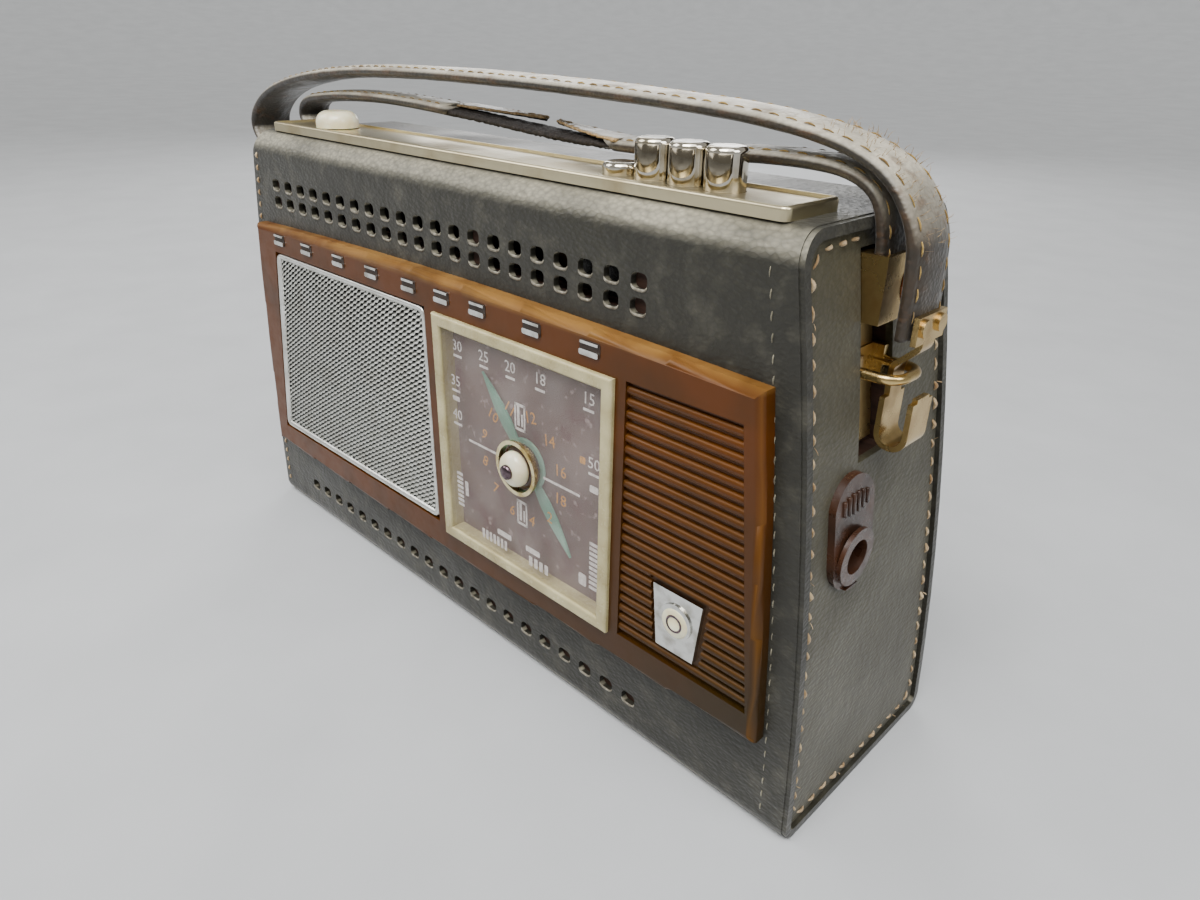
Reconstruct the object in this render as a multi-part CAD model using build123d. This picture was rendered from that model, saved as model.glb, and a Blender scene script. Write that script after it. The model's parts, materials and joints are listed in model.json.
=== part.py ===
"""Leather portable radio: every piece as its own solid, written to parts/NODE.step.

Frame: X along the width (+X is the end on the right when the dial faces you),
Y through the depth (-Y is the front), Z up, origin at the centre of the base.
All lengths are millimetres.
"""
from build123d import *
import math
import os

os.makedirs("parts", exist_ok=True)

# ---------------------------------------------------------------- driving sizes
BASE_WIDTH = 280.0
TOP_WIDTH = 244.0
HEIGHT = 165.0
BASE_DEPTH = 80.0
TOP_DEPTH = 68.5
END_CROWN = 3.4            # how far each end swells outward at mid height

LEATHER = 2.0              # leather thickness
WOOD = 6.0                 # plywood thickness
FRONT_TOP_R = 9.0          # leather roll over the front top edge
FRONT_BASE_R = 5.0
REAR_TOP_R = 6.0
REAR_BASE_R = 5.0

RUN_FIT = 0.05             # radial clearance of a shaft in its bearing
SLIDE_FIT = 0.3            # clearance round a sliding or opening piece

FASCIA_PROUD = 5.0         # fascia thickness in front of the leather
FASCIA_BASE_Z = 32.5
FASCIA_TOP_Z = 130.5
FASCIA_BASE_W = 261.0
FASCIA_TOP_W = 243.0
FASCIA_CROWN = 2.2

GRILLE_Z0 = 42.0
GRILLE_Z1 = 121.5
GRILLE_INNER_X = -7.0
GRILLE_BASE_W = 114.0
GRILLE_TOP_W = 100.0
GRILLE_SHEET = 1.0
GRILLE_RIM = 2.0
SLOT_PITCH = 4.0
SLOT_WIDTH = 2.2

DIAL_W = 79.0
DIAL_H = 81.0
DIAL_X = 37.8
DIAL_Z = 80.6
DIAL_RIM = 4.0
DIAL_PROUD = 1.6           # frame in front of the fascia
LENS = 1.5

RIB_X0 = 81.0
RIB_BASE_X1 = 127.0
RIB_TOP_X1 = 117.5
RIB_Z0 = 41.5
RIB_Z1 = 121.5
RIB_PITCH = 3.4
RIB_R = 1.25
RIB_DEPTH = 1.6

BADGE_X = 102.3
BADGE_Z = 56.7
BADGE_TOP_W = 17.0
BADGE_BASE_W = 13.0
BADGE_H = 19.5
BADGE_T = 1.6

BAR_XS = [-101.7, -80.8, -58.1, -36.6, -14.7, 3.1, 20.9, 45.1, 68.0]
BAR_Z = 125.6
BAR_W = 7.0
BAR_H = 1.6
BAR_T = 0.8

HOLE_COUNT = 21
HOLE_W = 5.4
HOLE_H = 4.4
TOP_ROWS_Z = [146.0, 139.6]
TOP_ROW_X = [-108.6, 79.6]
BASE_ROW_Z = 14.0
BASE_ROW_X = [-111.0, 82.0]

PLATE_HALF = 116.0
PLATE_DEPTH = 22.4
PLATE_Y = -23.3
PLATE_T = 3.2
PLATE_RIM = 1.2
PLATE_WELL = 0.7

BUTTON_COUNT = 4
BUTTON_X0 = 57.3
BUTTON_PITCH = 11.2
BUTTON_D = 10.4
BUTTON_FIT = 0.15          # round a cap where it passes the plate
BUTTON_UP = 10.2           # cap above the plate when it is out
BUTTON_TRAVEL = 7.0
STEM_D = 5.0
KNOB_X = -86.7
KNOB_D = 15.5
KNOB_H = 6.0
POT_SHAFT_D = 6.0
POT_D = 20.0
POT_H = 9.0

TUNE_KNOB_D = 14.6
TUNE_KNOB_PROUD = 4.0      # in front of the lens
TUNE_SPINDLE_D = 6.0
SLEEVE_D = 9.0
BEZEL_D = 18.2
BEZEL_HOLE = 15.6
POINTER_L = 64.0
POINTER_W = 3.0
POINTER_T = 0.8
POINTER_LEAN = 38.6        # degrees anticlockwise from upright, seen from the front

SPEAKER_X = -64.0
SPEAKER_Z = 82.0
SPEAKER_D = 94.0
CONE_D = 82.0
MAGNET_D = 40.0
SPEAKER_DEPTH = 40.0

SOCKET_Y = -18.0
SOCKET_Z = 83.0
SOCKET_BORE = 9.6
SOCKET_OD = 12.0
SOCKET_RING = 16.0
SOCKET_LEN = 22.0
ESCUTCHEON_W = 19.0
ESCUTCHEON_RISE = 15.0
ESCUTCHEON_T = 2.0

STRAP_Y = -6.0
SLOT_Y_W = 16.0
SLOT_Z = [106.0, 158.0]
SLOT_DEPTH = 6.0
RAIL_T = 1.5
RAIL_W = 12.0
LOOP_Z = 128.5
LOOP_ROD = 2.6
LOOP_OUT = 137.0
HANDLE_W = 13.2
HANDLE_T = 4.2
CLAMP_X = 127.2
CLAMP_Z = [141.0, 157.0]
CLAMP_WALL = 1.2
LONG_W = 18.0
LONG_T = 4.5
LONG_END_X = 136.2
LONG_END_Z = 139.0
HOOK_T = 1.4
HOOK_GRIP = 5.8            # hook plate riveted up the strap

COVER_Z = [12.0, 152.0]
COVER_MARGIN = 12.0        # cover edge inside the end of the case
COVER_BOARD = 3.0
COVER_LEDGE = 4.0
COVER_GAP = 1.3            # round the cover, which swings up into narrower sides
HINGE_OUT = 2.3            # hinge axis behind the leather
PIN_D = 2.0
KNUCKLE_D = 4.0
HINGE_XS = [-70.0, 70.0]
HINGE_L = 30.0
LOCK_X = 60.0
LOCK_Z = 140.0
LOCK_D = 11.0
LOCK_SHANK = 5.0

BOARD_X = [-8.0, 112.0]
BOARD_Z = [44.0, 132.0]
BOARD_Y = 10.0
BOARD_T = 1.6
POST_D = 6.0
ROD_D = 10.0
ROD_X = [-100.0, 88.0]
ROD_Y = 8.0
ROD_Z = 145.0
COIL_D = 14.0
CELL_D = 26.0
CELL_L = 50.0
CELLS = 4
TRAY_WALL = 1.6
TRAY_Y = 14.5

FRONT = -BASE_DEPTH / 2
LEAN = (BASE_DEPTH - TOP_DEPTH) / HEIGHT
FASCIA_FACE = FRONT - FASCIA_PROUD
FAR = 400.0


# ---------------------------------------------------------------- shape helpers
def save(name, shape):
    """Write one node to its own STEP file."""
    shape.label = name
    export_step(shape, f"parts/{name}.step")


def box(x0, x1, y0, y1, z0, z1):
    """A box from its six limits."""
    centre = Pos((x0 + x1) / 2, (y0 + y1) / 2, (z0 + z1) / 2)
    return centre * Box(x1 - x0, y1 - y0, z1 - z0)


def rod_x(d, x0, x1, y, z):
    """A cylinder along X."""
    return Pos((x0 + x1) / 2, y, z) * Rot(0, 90, 0) * Cylinder(d / 2, x1 - x0)


def rod_y(d, y0, y1, x, z):
    """A cylinder along Y."""
    return Pos(x, (y0 + y1) / 2, z) * Rot(90, 0, 0) * Cylinder(d / 2, y1 - y0)


def rod_z(d, z0, z1, x, y):
    """A cylinder along Z."""
    return Pos(x, y, (z0 + z1) / 2) * Cylinder(d / 2, z1 - z0)


def half_width(z, inset=0.0):
    """Half the case width at height z, from the same arc as the end profile."""
    low = BASE_WIDTH / 2
    high = TOP_WIDTH / 2
    chord = math.hypot(HEIGHT, low - high)
    radius = (chord ** 2 / 4 + END_CROWN ** 2) / (2 * END_CROWN)
    nx = HEIGHT / chord
    nz = (low - high) / chord
    cx = (low + high) / 2 + nx * (END_CROWN - radius)
    cz = HEIGHT / 2 + nz * (END_CROWN - radius)
    return cx + math.sqrt(radius ** 2 - (z - cz) ** 2) - inset


def back_y(z, inset=0.0):
    """The rear face at height z."""
    return BASE_DEPTH / 2 - LEAN * z - inset


def end_profile(inset):
    """The front view of the case, ends crowned, as a face in XZ that runs past base and top."""
    zb = -HEIGHT / 10
    zt = HEIGHT * 1.1
    low = half_width(zb, inset)
    mid = half_width(HEIGHT / 2, inset)
    high = half_width(zt, inset)
    right = ThreePointArc((low, zb), (mid, HEIGHT / 2), (high, zt))
    left = ThreePointArc((-high, zt), (-mid, HEIGHT / 2), (-low, zb))
    top = Line((high, zt), (-high, zt))
    base = Line((-low, zb), (low, zb))
    return Plane.XZ * make_face(Curve() + [right, top, left, base])


def side_profile(inset):
    """The end view of the case, corners rounded, as a face in YZ."""
    zb = inset
    zt = HEIGHT - inset
    points = [(FRONT + inset, zb), (back_y(zb, inset), zb), (back_y(zt, inset), zt), (FRONT + inset, zt)]
    radii = [max(r - inset, 0.6) for r in (FRONT_BASE_R, REAR_BASE_R, REAR_TOP_R, FRONT_TOP_R)]
    face = Plane.YZ * Polygon(*points, align=None)
    for radius, (y, z) in zip(radii, points):
        corner = face.vertices().sort_by_distance((0, y, z))[0]
        face = fillet(corner, radius)
    return face


def case_solid(end_inset, skin_inset):
    """The case body, shrunk by end_inset at the ends and skin_inset all round."""
    along_y = extrude(end_profile(end_inset), FAR, both=True)
    along_x = extrude(side_profile(skin_inset), FAR, both=True)
    return along_y & along_x


def front_face(points, y):
    """A straight-sided face in the front view at depth y."""
    return Pos(0, y, 0) * (Plane.XZ * Polygon(*points, align=None))


def front_slab(points, y0, y1):
    """A front-view outline made solid from y0 back to y1."""
    return extrude(front_face(points, y1), y1 - y0)


def strap_path(points, radii):
    """A strap's centre line in XZ at the strap plane."""
    line = FilletPolyline(*[(x, z) for x, z in points], radius=radii)
    return Pos(0, STRAP_Y, 0) * (Plane.XZ * line)


def strap_solid(points, width, thick):
    """A flat strap swept along its centre line."""
    radii = corner_radii(points)
    path = strap_path(points, radii)
    start = Plane(path @ 0, z_dir=path % 0, x_dir=(0, 1, 0))
    return sweep(start * Rectangle(width, thick), path)


def corner_radii(points):
    """Largest comfortable arc at each inner point of a route."""
    radii = []
    for before, here, after in zip(points, points[1:], points[2:]):
        run_in = math.dist(before, here)
        run_out = math.dist(here, after)
        a = math.atan2(here[1] - before[1], here[0] - before[0])
        b = math.atan2(after[1] - here[1], after[0] - here[0])
        turn = abs((b - a + math.pi) % (2 * math.pi) - math.pi)
        radii.append(0.45 * min(run_in, run_out) / math.tan(turn / 2))
    return radii


def mirrored(shape):
    """The same piece at the other end of the case."""
    return mirror(shape, about=Plane.YZ)


# ---------------------------------------------------------------- shared solids
OUTER = case_solid(0, 0)
WOOD_OUTER = case_solid(LEATHER, LEATHER)
CAVITY = case_solid(LEATHER + WOOD, LEATHER + WOOD)
BAFFLE_Y0 = FRONT + LEATHER
BAFFLE_Y1 = BAFFLE_Y0 + WOOD
FLOOR_Z = LEATHER + WOOD
CEILING_Z = HEIGHT - LEATHER - WOOD
SLOT_Y = [STRAP_Y - SLOT_Y_W / 2, STRAP_Y + SLOT_Y_W / 2]
SLOT_BOX = box(80, FAR / 2, SLOT_Y[0], SLOT_Y[1], SLOT_Z[0], SLOT_Z[1])
SLOT_CUT = SLOT_BOX - case_solid(SLOT_DEPTH, 0)
SLOT_CUTS = SLOT_CUT + mirrored(SLOT_CUT)


def grille_outline(shrink=0.0):
    """The speaker opening in the front view."""
    left_low = GRILLE_INNER_X - GRILLE_BASE_W + shrink
    left_high = GRILLE_INNER_X - GRILLE_TOP_W + shrink
    right = GRILLE_INNER_X - shrink
    low = GRILLE_Z0 + shrink
    high = GRILLE_Z1 - shrink
    return [(left_low, low), (right, low), (right, high), (left_high, high)]


def dial_outline(shrink=0.0):
    """The dial opening in the front view."""
    w = DIAL_W / 2 - shrink
    h = DIAL_H / 2 - shrink
    return [(DIAL_X - w, DIAL_Z - h), (DIAL_X + w, DIAL_Z - h), (DIAL_X + w, DIAL_Z + h), (DIAL_X - w, DIAL_Z + h)]


def cover_box(grow):
    """The region of the rear cover, grown or shrunk on every side."""
    z0 = COVER_Z[0] - grow
    z1 = COVER_Z[1] + grow
    low = half_width(COVER_Z[0]) - COVER_MARGIN + grow
    high = half_width(COVER_Z[1]) - COVER_MARGIN + grow
    return front_slab([(-low, z0), (low, z0), (high, z1), (-high, z1)], 0, FAR / 4)


def row_xs(limits):
    """Hole centres of one perforated row."""
    step = (limits[1] - limits[0]) / (HOLE_COUNT - 1)
    return [limits[0] + step * i for i in range(HOLE_COUNT)]


def perforations():
    """Cutters for every punched hole in the front leather."""
    spots = [(x, z) for z in TOP_ROWS_Z for x in row_xs(TOP_ROW_X)]
    spots += [(x, BASE_ROW_Z) for x in row_xs(BASE_ROW_X)]
    punch = Plane.XZ * RectangleRounded(HOLE_W, HOLE_H, 1.6)
    solid = extrude(punch, LEATHER * 2, both=True)
    return [Pos(x, FRONT, z) * solid for x, z in spots]


def button_x(index):
    """Centre of one band button."""
    return BUTTON_X0 + BUTTON_PITCH * index


# ---------------------------------------------------------------- leather case
def leather_pieces():
    """Front, top, base and back in one wrapped hide, and the two end panels."""
    hide = side_profile(0) - side_profile(LEATHER)
    wrap = extrude(hide, FAR, both=True) & extrude(end_profile(0), FAR, both=True)
    wrap -= perforations()
    wrap -= front_slab(grille_outline(GRILLE_RIM), FRONT - 1, FRONT + LEATHER + 1)
    wrap -= front_slab(dial_outline(DIAL_RIM), FRONT - 1, FRONT + LEATHER + 1)
    wrap -= cover_box(COVER_GAP)
    wrap -= top_holes()
    save("leather_wrap", wrap)

    ends = case_solid(0, LEATHER) - case_solid(LEATHER, LEATHER)
    ends -= SLOT_BOX
    ends -= mirrored(SLOT_BOX)
    ends -= rod_x(SOCKET_OD, 0, FAR / 2, SOCKET_Y, SOCKET_Z)
    halves = ends.solids().sort_by(Axis.X)
    save("end_leather_left", halves[0])
    save("end_leather_right", halves[-1])

    bead = case_solid(-1.4, 0.3) - case_solid(-2.0, LEATHER + 0.8) - case_solid(0, 0)
    rims = bead.solids().sort_by(Axis.X)
    save("end_piping", Compound(children=[rims[0], rims[-1]]))


def top_holes():
    """Clearance holes for everything that passes through the top."""
    half = BUTTON_D / 2 + SLIDE_FIT
    bank = box(button_x(0) - half, button_x(BUTTON_COUNT - 1) + half, PLATE_Y - half, PLATE_Y + half,
               CEILING_Z - 1, HEIGHT + 1)
    shaft = rod_z(POT_SHAFT_D + 2 * SLIDE_FIT, CEILING_Z - 1, HEIGHT + 1, KNOB_X, PLATE_Y)
    return [bank, shaft]


# ---------------------------------------------------------------- wooden carcass
def wood_pieces():
    """Plywood carcass and the baffle board let into its front."""
    inner = end_profile(LEATHER + WOOD)
    board = extrude(Pos(0, BAFFLE_Y1, 0) * inner, WOOD)
    board &= box(-FAR / 2, FAR / 2, FRONT, 0, FLOOR_Z, CEILING_Z) & WOOD_OUTER
    carcass = WOOD_OUTER - CAVITY - board
    carcass -= cover_box(COVER_GAP) - case_solid(-1, LEATHER + COVER_BOARD)
    carcass -= cover_box(-COVER_LEDGE)
    carcass -= SLOT_CUTS
    carcass -= rod_x(SOCKET_OD, 0, FAR / 2, SOCKET_Y, SOCKET_Z)
    carcass -= top_holes()
    save("case_carcass", carcass)

    board -= rod_y(CONE_D + 4, -FAR / 4, 0, SPEAKER_X, SPEAKER_Z)
    board -= rod_y(SLEEVE_D + 6, -FAR / 4, 0, DIAL_X, DIAL_Z)
    step = (TOP_ROW_X[1] - TOP_ROW_X[0]) / 3
    for i in range(3):
        x0 = TOP_ROW_X[0] + step * i - HOLE_W / 2 + 1
        rows_top = TOP_ROWS_Z[0] + HOLE_H / 2
        rows_low = TOP_ROWS_Z[1] - HOLE_H / 2
        board -= box(x0, x0 + step - 4, FRONT, 0, rows_low, rows_top)
    save("baffle_board", board)


# ---------------------------------------------------------------- fascia group
def fascia_outline():
    """The moulded fascia in the front view, every side slightly crowned."""
    low = FASCIA_BASE_W / 2
    high = FASCIA_TOP_W / 2
    mid_x = (low + high) / 2 + 0.8
    mid_z = (FASCIA_BASE_Z + FASCIA_TOP_Z) / 2
    base = ThreePointArc((-low, FASCIA_BASE_Z), (0, FASCIA_BASE_Z - FASCIA_CROWN), (low, FASCIA_BASE_Z))
    right = ThreePointArc((low, FASCIA_BASE_Z), (mid_x, mid_z), (high, FASCIA_TOP_Z))
    top = ThreePointArc((high, FASCIA_TOP_Z), (0, FASCIA_TOP_Z + FASCIA_CROWN), (-high, FASCIA_TOP_Z))
    left = ThreePointArc((-high, FASCIA_TOP_Z), (-mid_x, mid_z), (-low, FASCIA_BASE_Z))
    return Pos(0, FRONT, 0) * (Plane.XZ * make_face(Curve() + [base, right, top, left]))


def rib_outline():
    """The ribbed panel of the fascia."""
    return [(RIB_X0, RIB_Z0), (RIB_BASE_X1, RIB_Z0), (RIB_TOP_X1, RIB_Z1), (RIB_X0, RIB_Z1)]


def badge_outline(grow):
    """The shield-shaped badge, wider at its top."""
    top = BADGE_TOP_W / 2 + grow
    base = BADGE_BASE_W / 2 + grow
    h = BADGE_H / 2 + grow
    return [(BADGE_X - base, BADGE_Z - h), (BADGE_X + base, BADGE_Z - h),
            (BADGE_X + top, BADGE_Z + h), (BADGE_X - top, BADGE_Z + h)]


def fascia_pieces():
    """Fascia moulding, ribs included, with its badge and name bars."""
    body = extrude(fascia_outline(), FASCIA_PROUD)
    rim = body.faces().sort_by(Axis.Y)[0].edges()
    body = fillet(rim, 2.2)
    body -= front_slab(grille_outline(), FASCIA_FACE - 1, FRONT + 1)
    body -= front_slab(dial_outline(), FASCIA_FACE - 1, FRONT + 1)
    recess_back = FASCIA_FACE + RIB_DEPTH
    body -= front_slab(rib_outline(), FASCIA_FACE - 1, recess_back)
    count = int((RIB_Z1 - RIB_Z0) / RIB_PITCH)
    start = (RIB_Z0 + RIB_Z1) / 2 - RIB_PITCH * (count - 1) / 2
    lean = (RIB_BASE_X1 - RIB_TOP_X1) / (RIB_Z1 - RIB_Z0)
    shield = front_slab(badge_outline(1.6), FASCIA_FACE - 1, recess_back + 1)
    for i in range(count):
        z = start + RIB_PITCH * i
        x1 = RIB_BASE_X1 - lean * (z - RIB_Z0)
        rib = rod_x(RIB_R * 2, RIB_X0 - 0.3, x1 + 0.3, recess_back, z)
        body += rib - shield
    body = body - box(-FAR, FAR, FRONT, FAR, -FAR, FAR)
    save("fascia_panel", body.solids().sort_by(SortBy.VOLUME)[-1])

    badge = front_slab(badge_outline(0), recess_back - BADGE_T, recess_back)
    centre = rod_y(11.0, recess_back - BADGE_T - 0.5, recess_back - BADGE_T, BADGE_X, BADGE_Z + 1)
    save("badge", badge + centre)

    bar = extrude(Plane.XZ * RectangleRounded(BAR_W, BAR_H, 0.5), BAR_T)
    bars = [Pos(x, FASCIA_FACE, BAR_Z) * bar for x in BAR_XS]
    save("trim_bars", Compound(children=bars))


def grille_pieces():
    """Expanded-metal grille in its rolled rim, and the cloth behind it."""
    mesh_y = FASCIA_FACE + 1.2
    rim = front_slab(grille_outline(), FASCIA_FACE - 0.6, mesh_y + GRILLE_SHEET)
    rim -= front_slab(grille_outline(GRILLE_RIM), FASCIA_FACE - 1, mesh_y + GRILLE_SHEET + 1)
    sheet = front_slab(grille_outline(GRILLE_RIM), mesh_y, mesh_y + GRILLE_SHEET)
    window = front_slab(grille_outline(GRILLE_RIM + 2.0), mesh_y - 1, mesh_y + GRILLE_SHEET + 1)
    centre_x = GRILLE_INNER_X - GRILLE_BASE_W / 2
    centre_z = (GRILLE_Z0 + GRILLE_Z1) / 2
    count = int(GRILLE_BASE_W * 1.6 / SLOT_PITCH)
    slots = []
    for i in range(count):
        shift = (i - (count - 1) / 2) * SLOT_PITCH
        slot = Pos(centre_x + shift, mesh_y, centre_z) * Rot(0, 30, 0) * Box(SLOT_WIDTH, 6, GRILLE_BASE_W * 1.3)
        slots.append(slot & window)
    sheet -= slots
    save("speaker_grille", rim + sheet)

    cloth_y = mesh_y + GRILLE_SHEET
    save("grille_cloth", front_slab(grille_outline(), cloth_y, FRONT))


def dial_pieces():
    """Dial frame, printed scale, clear lens, pointer and the tuning knob."""
    frame_front = FASCIA_FACE - DIAL_PROUD
    scale_t = 1.0
    frame = front_slab(dial_outline(), frame_front, FRONT)
    frame -= front_slab(dial_outline(DIAL_RIM), frame_front - 1, FRONT + 1)
    outer_edges = frame.faces().sort_by(Axis.Y)[0].edges()
    frame = fillet(outer_edges, 0.9)
    save("dial_frame", frame)

    lens_front = frame_front + 1.0
    lens_back = lens_front + LENS
    lens = front_slab(dial_outline(DIAL_RIM), lens_front, lens_back)
    lens -= rod_y(BEZEL_HOLE + 0.8, -FAR / 4, 0, DIAL_X, DIAL_Z)
    save("dial_lens", lens)

    scale = front_slab(dial_outline(DIAL_RIM), FRONT - scale_t, FRONT)
    scale -= rod_y(SLEEVE_D + 2 * SLIDE_FIT, -FAR / 4, 0, DIAL_X, DIAL_Z)
    save("dial_scale", scale)

    bezel = rod_y(BEZEL_D, lens_front - 0.9, lens_front, DIAL_X, DIAL_Z)
    bezel += rod_y(BEZEL_HOLE + 0.8, lens_front - 0.9, lens_back, DIAL_X, DIAL_Z)
    bezel -= rod_y(BEZEL_HOLE, -FAR / 4, 0, DIAL_X, DIAL_Z)
    save("knob_bezel", bezel)

    pointer_y1 = FRONT - scale_t - 0.5
    pointer_y0 = pointer_y1 - POINTER_T
    arm = Pos(0, 0, 0) * Box(POINTER_W, POINTER_T, POINTER_L)
    arm += Rot(90, 0, 0) * Cylinder(SLEEVE_D / 2 + 2.5, POINTER_T)
    arm -= Rot(90, 0, 0) * Cylinder(SLEEVE_D / 2, POINTER_T * 3)
    middle = (pointer_y0 + pointer_y1) / 2
    save("dial_pointer", Pos(DIAL_X, middle, DIAL_Z) * Rot(0, -POINTER_LEAN, 0) * arm)

    knob_back = pointer_y0 - SLIDE_FIT
    knob_front = lens_front - TUNE_KNOB_PROUD
    dome = 1.8
    knob = rod_y(TUNE_KNOB_D, knob_front, knob_back, DIAL_X, DIAL_Z)
    knob = fillet(knob.edges().sort_by(Axis.Y)[0], dome)
    knob -= rod_y(TUNE_SPINDLE_D, knob_front + 3, 0, DIAL_X, DIAL_Z)
    save("tuning_knob", knob)

    spindle_end = BAFFLE_Y1 + 12
    save("tuning_spindle", rod_y(TUNE_SPINDLE_D, knob_front + 3, spindle_end, DIAL_X, DIAL_Z))
    return pointer_y0, spindle_end


# ---------------------------------------------------------------- tuning gang
def capacitor_pieces(sleeve_front, spindle_end):
    """Tuning capacitor: frame with fixed vanes, rotor with moving vanes, bearing."""
    plate = 1.6
    front = BAFFLE_Y1 + 4
    rear = BOARD_Y - 4
    reach = 18.0
    base_z = DIAL_Z - 21
    top_z = DIAL_Z + 21
    vane = 0.8
    gap = 0.8
    pitch = 2 * (vane + gap)
    count = 5
    first = front + plate + 8

    frame = box(DIAL_X - reach, DIAL_X + reach, front, front + plate, base_z, top_z)
    frame += box(DIAL_X - reach, DIAL_X + reach, rear - plate, rear, base_z, top_z)
    frame += box(DIAL_X - reach, DIAL_X + reach, front, rear, base_z, base_z + plate)
    hole = SLEEVE_D + 2 * RUN_FIT
    frame -= rod_y(hole, -FAR / 4, FAR / 4, DIAL_X, DIAL_Z)
    save("capacitor_frame", frame)

    stator = box(DIAL_X - reach, DIAL_X - reach + plate, front + plate, rear - plate, base_z + plate, DIAL_Z)
    for i in range(count):
        y = first + pitch * i + vane + gap
        fixed = rod_y(34, y, y + vane, DIAL_X, DIAL_Z)
        fixed -= rod_y(SLEEVE_D + 4, y - 1, y + vane + 1, DIAL_X, DIAL_Z)
        fixed &= box(DIAL_X - reach, DIAL_X + reach, y, y + vane, base_z, DIAL_Z - 1)
        stator += fixed
        stator += box(DIAL_X - reach, DIAL_X - 14, y, y + vane, DIAL_Z - 6, DIAL_Z - 1)
    save("capacitor_stator", stator)

    rotor = rod_y(SLEEVE_D, sleeve_front, rear + 2, DIAL_X, DIAL_Z)
    rotor -= rod_y(TUNE_SPINDLE_D + 2 * RUN_FIT, sleeve_front - 1, spindle_end + SLIDE_FIT, DIAL_X, DIAL_Z)
    for i in range(count):
        y = first + pitch * i
        moving = rod_y(29, y, y + vane, DIAL_X, DIAL_Z)
        moving &= box(DIAL_X - reach, DIAL_X + reach, y, y + vane, DIAL_Z, top_z)
        rotor += moving
    save("capacitor_rotor", rotor)

    collar = rod_y(SLEEVE_D + 6, BAFFLE_Y0, front, DIAL_X, DIAL_Z)
    collar -= rod_y(hole, -FAR / 4, FAR / 4, DIAL_X, DIAL_Z)
    save("drive_collar", collar)


# ---------------------------------------------------------------- top controls
def control_pieces():
    """Anodised plate, four band buttons in their bank, volume knob and its pot."""
    base_z = HEIGHT
    top_z = HEIGHT + PLATE_T
    y0 = PLATE_Y - PLATE_DEPTH / 2
    y1 = PLATE_Y + PLATE_DEPTH / 2
    plate = box(-PLATE_HALF, PLATE_HALF, y0, y1, base_z, top_z)
    plate = fillet(plate.edges().filter_by(Axis.Z), 2.0)
    plate = fillet(plate.faces().sort_by(Axis.Z)[-1].edges(), 0.8)
    well = box(-PLATE_HALF + PLATE_RIM, PLATE_HALF - PLATE_RIM, y0 + PLATE_RIM, y1 - PLATE_RIM,
               top_z - PLATE_WELL, top_z + 1)
    plate -= well
    floor_z = top_z - PLATE_WELL
    for i in range(BUTTON_COUNT):
        plate -= rod_z(BUTTON_D + 2 * BUTTON_FIT, base_z - 1, top_z + 1, button_x(i), PLATE_Y)
    plate -= rod_z(POT_SHAFT_D + 2 * SLIDE_FIT, base_z - 1, top_z + 1, KNOB_X, PLATE_Y)
    save("control_plate", plate)

    bank_top = CEILING_Z
    bank_base = CEILING_Z - 24
    stem_base = bank_base + 2 + BUTTON_TRAVEL
    bank = box(button_x(0) - 9, button_x(BUTTON_COUNT - 1) + 9, PLATE_Y - 7.5, PLATE_Y + 8,
               bank_base, bank_top)
    for i in range(BUTTON_COUNT):
        bank -= rod_z(STEM_D + 2 * RUN_FIT, bank_base + 1.5, bank_top + 1, button_x(i), PLATE_Y)
    save("switch_bank", bank)

    for i in range(BUTTON_COUNT):
        drop = BUTTON_TRAVEL if i == 0 else 0.0
        top = floor_z + BUTTON_UP - drop
        skirt = HEIGHT + 1.0 - drop
        cap = rod_z(BUTTON_D, skirt, top, button_x(i), PLATE_Y)
        cap = fillet(cap.edges().sort_by(Axis.Z)[-1], 1.4)
        cap += rod_z(STEM_D, stem_base - drop, skirt, button_x(i), PLATE_Y)
        save(f"band_button_{i + 1}", cap)

    knob = rod_z(KNOB_D, floor_z + 0.3, floor_z + KNOB_H, KNOB_X, PLATE_Y)
    knob = fillet(knob.edges().sort_by(Axis.Z)[-1], 4.2)
    knob -= rod_z(POT_SHAFT_D, 0, floor_z + 3.5, KNOB_X, PLATE_Y)
    save("volume_knob", knob)
    pot_base = CEILING_Z - POT_H
    save("volume_shaft", rod_z(POT_SHAFT_D, pot_base + 2, floor_z + 3.5, KNOB_X, PLATE_Y))
    pot = rod_z(POT_D, pot_base, CEILING_Z, KNOB_X, PLATE_Y + 3)
    pot -= rod_z(POT_SHAFT_D + 2 * RUN_FIT, pot_base + 2, CEILING_Z + 1, KNOB_X, PLATE_Y)
    save("volume_pot", pot)


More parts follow.
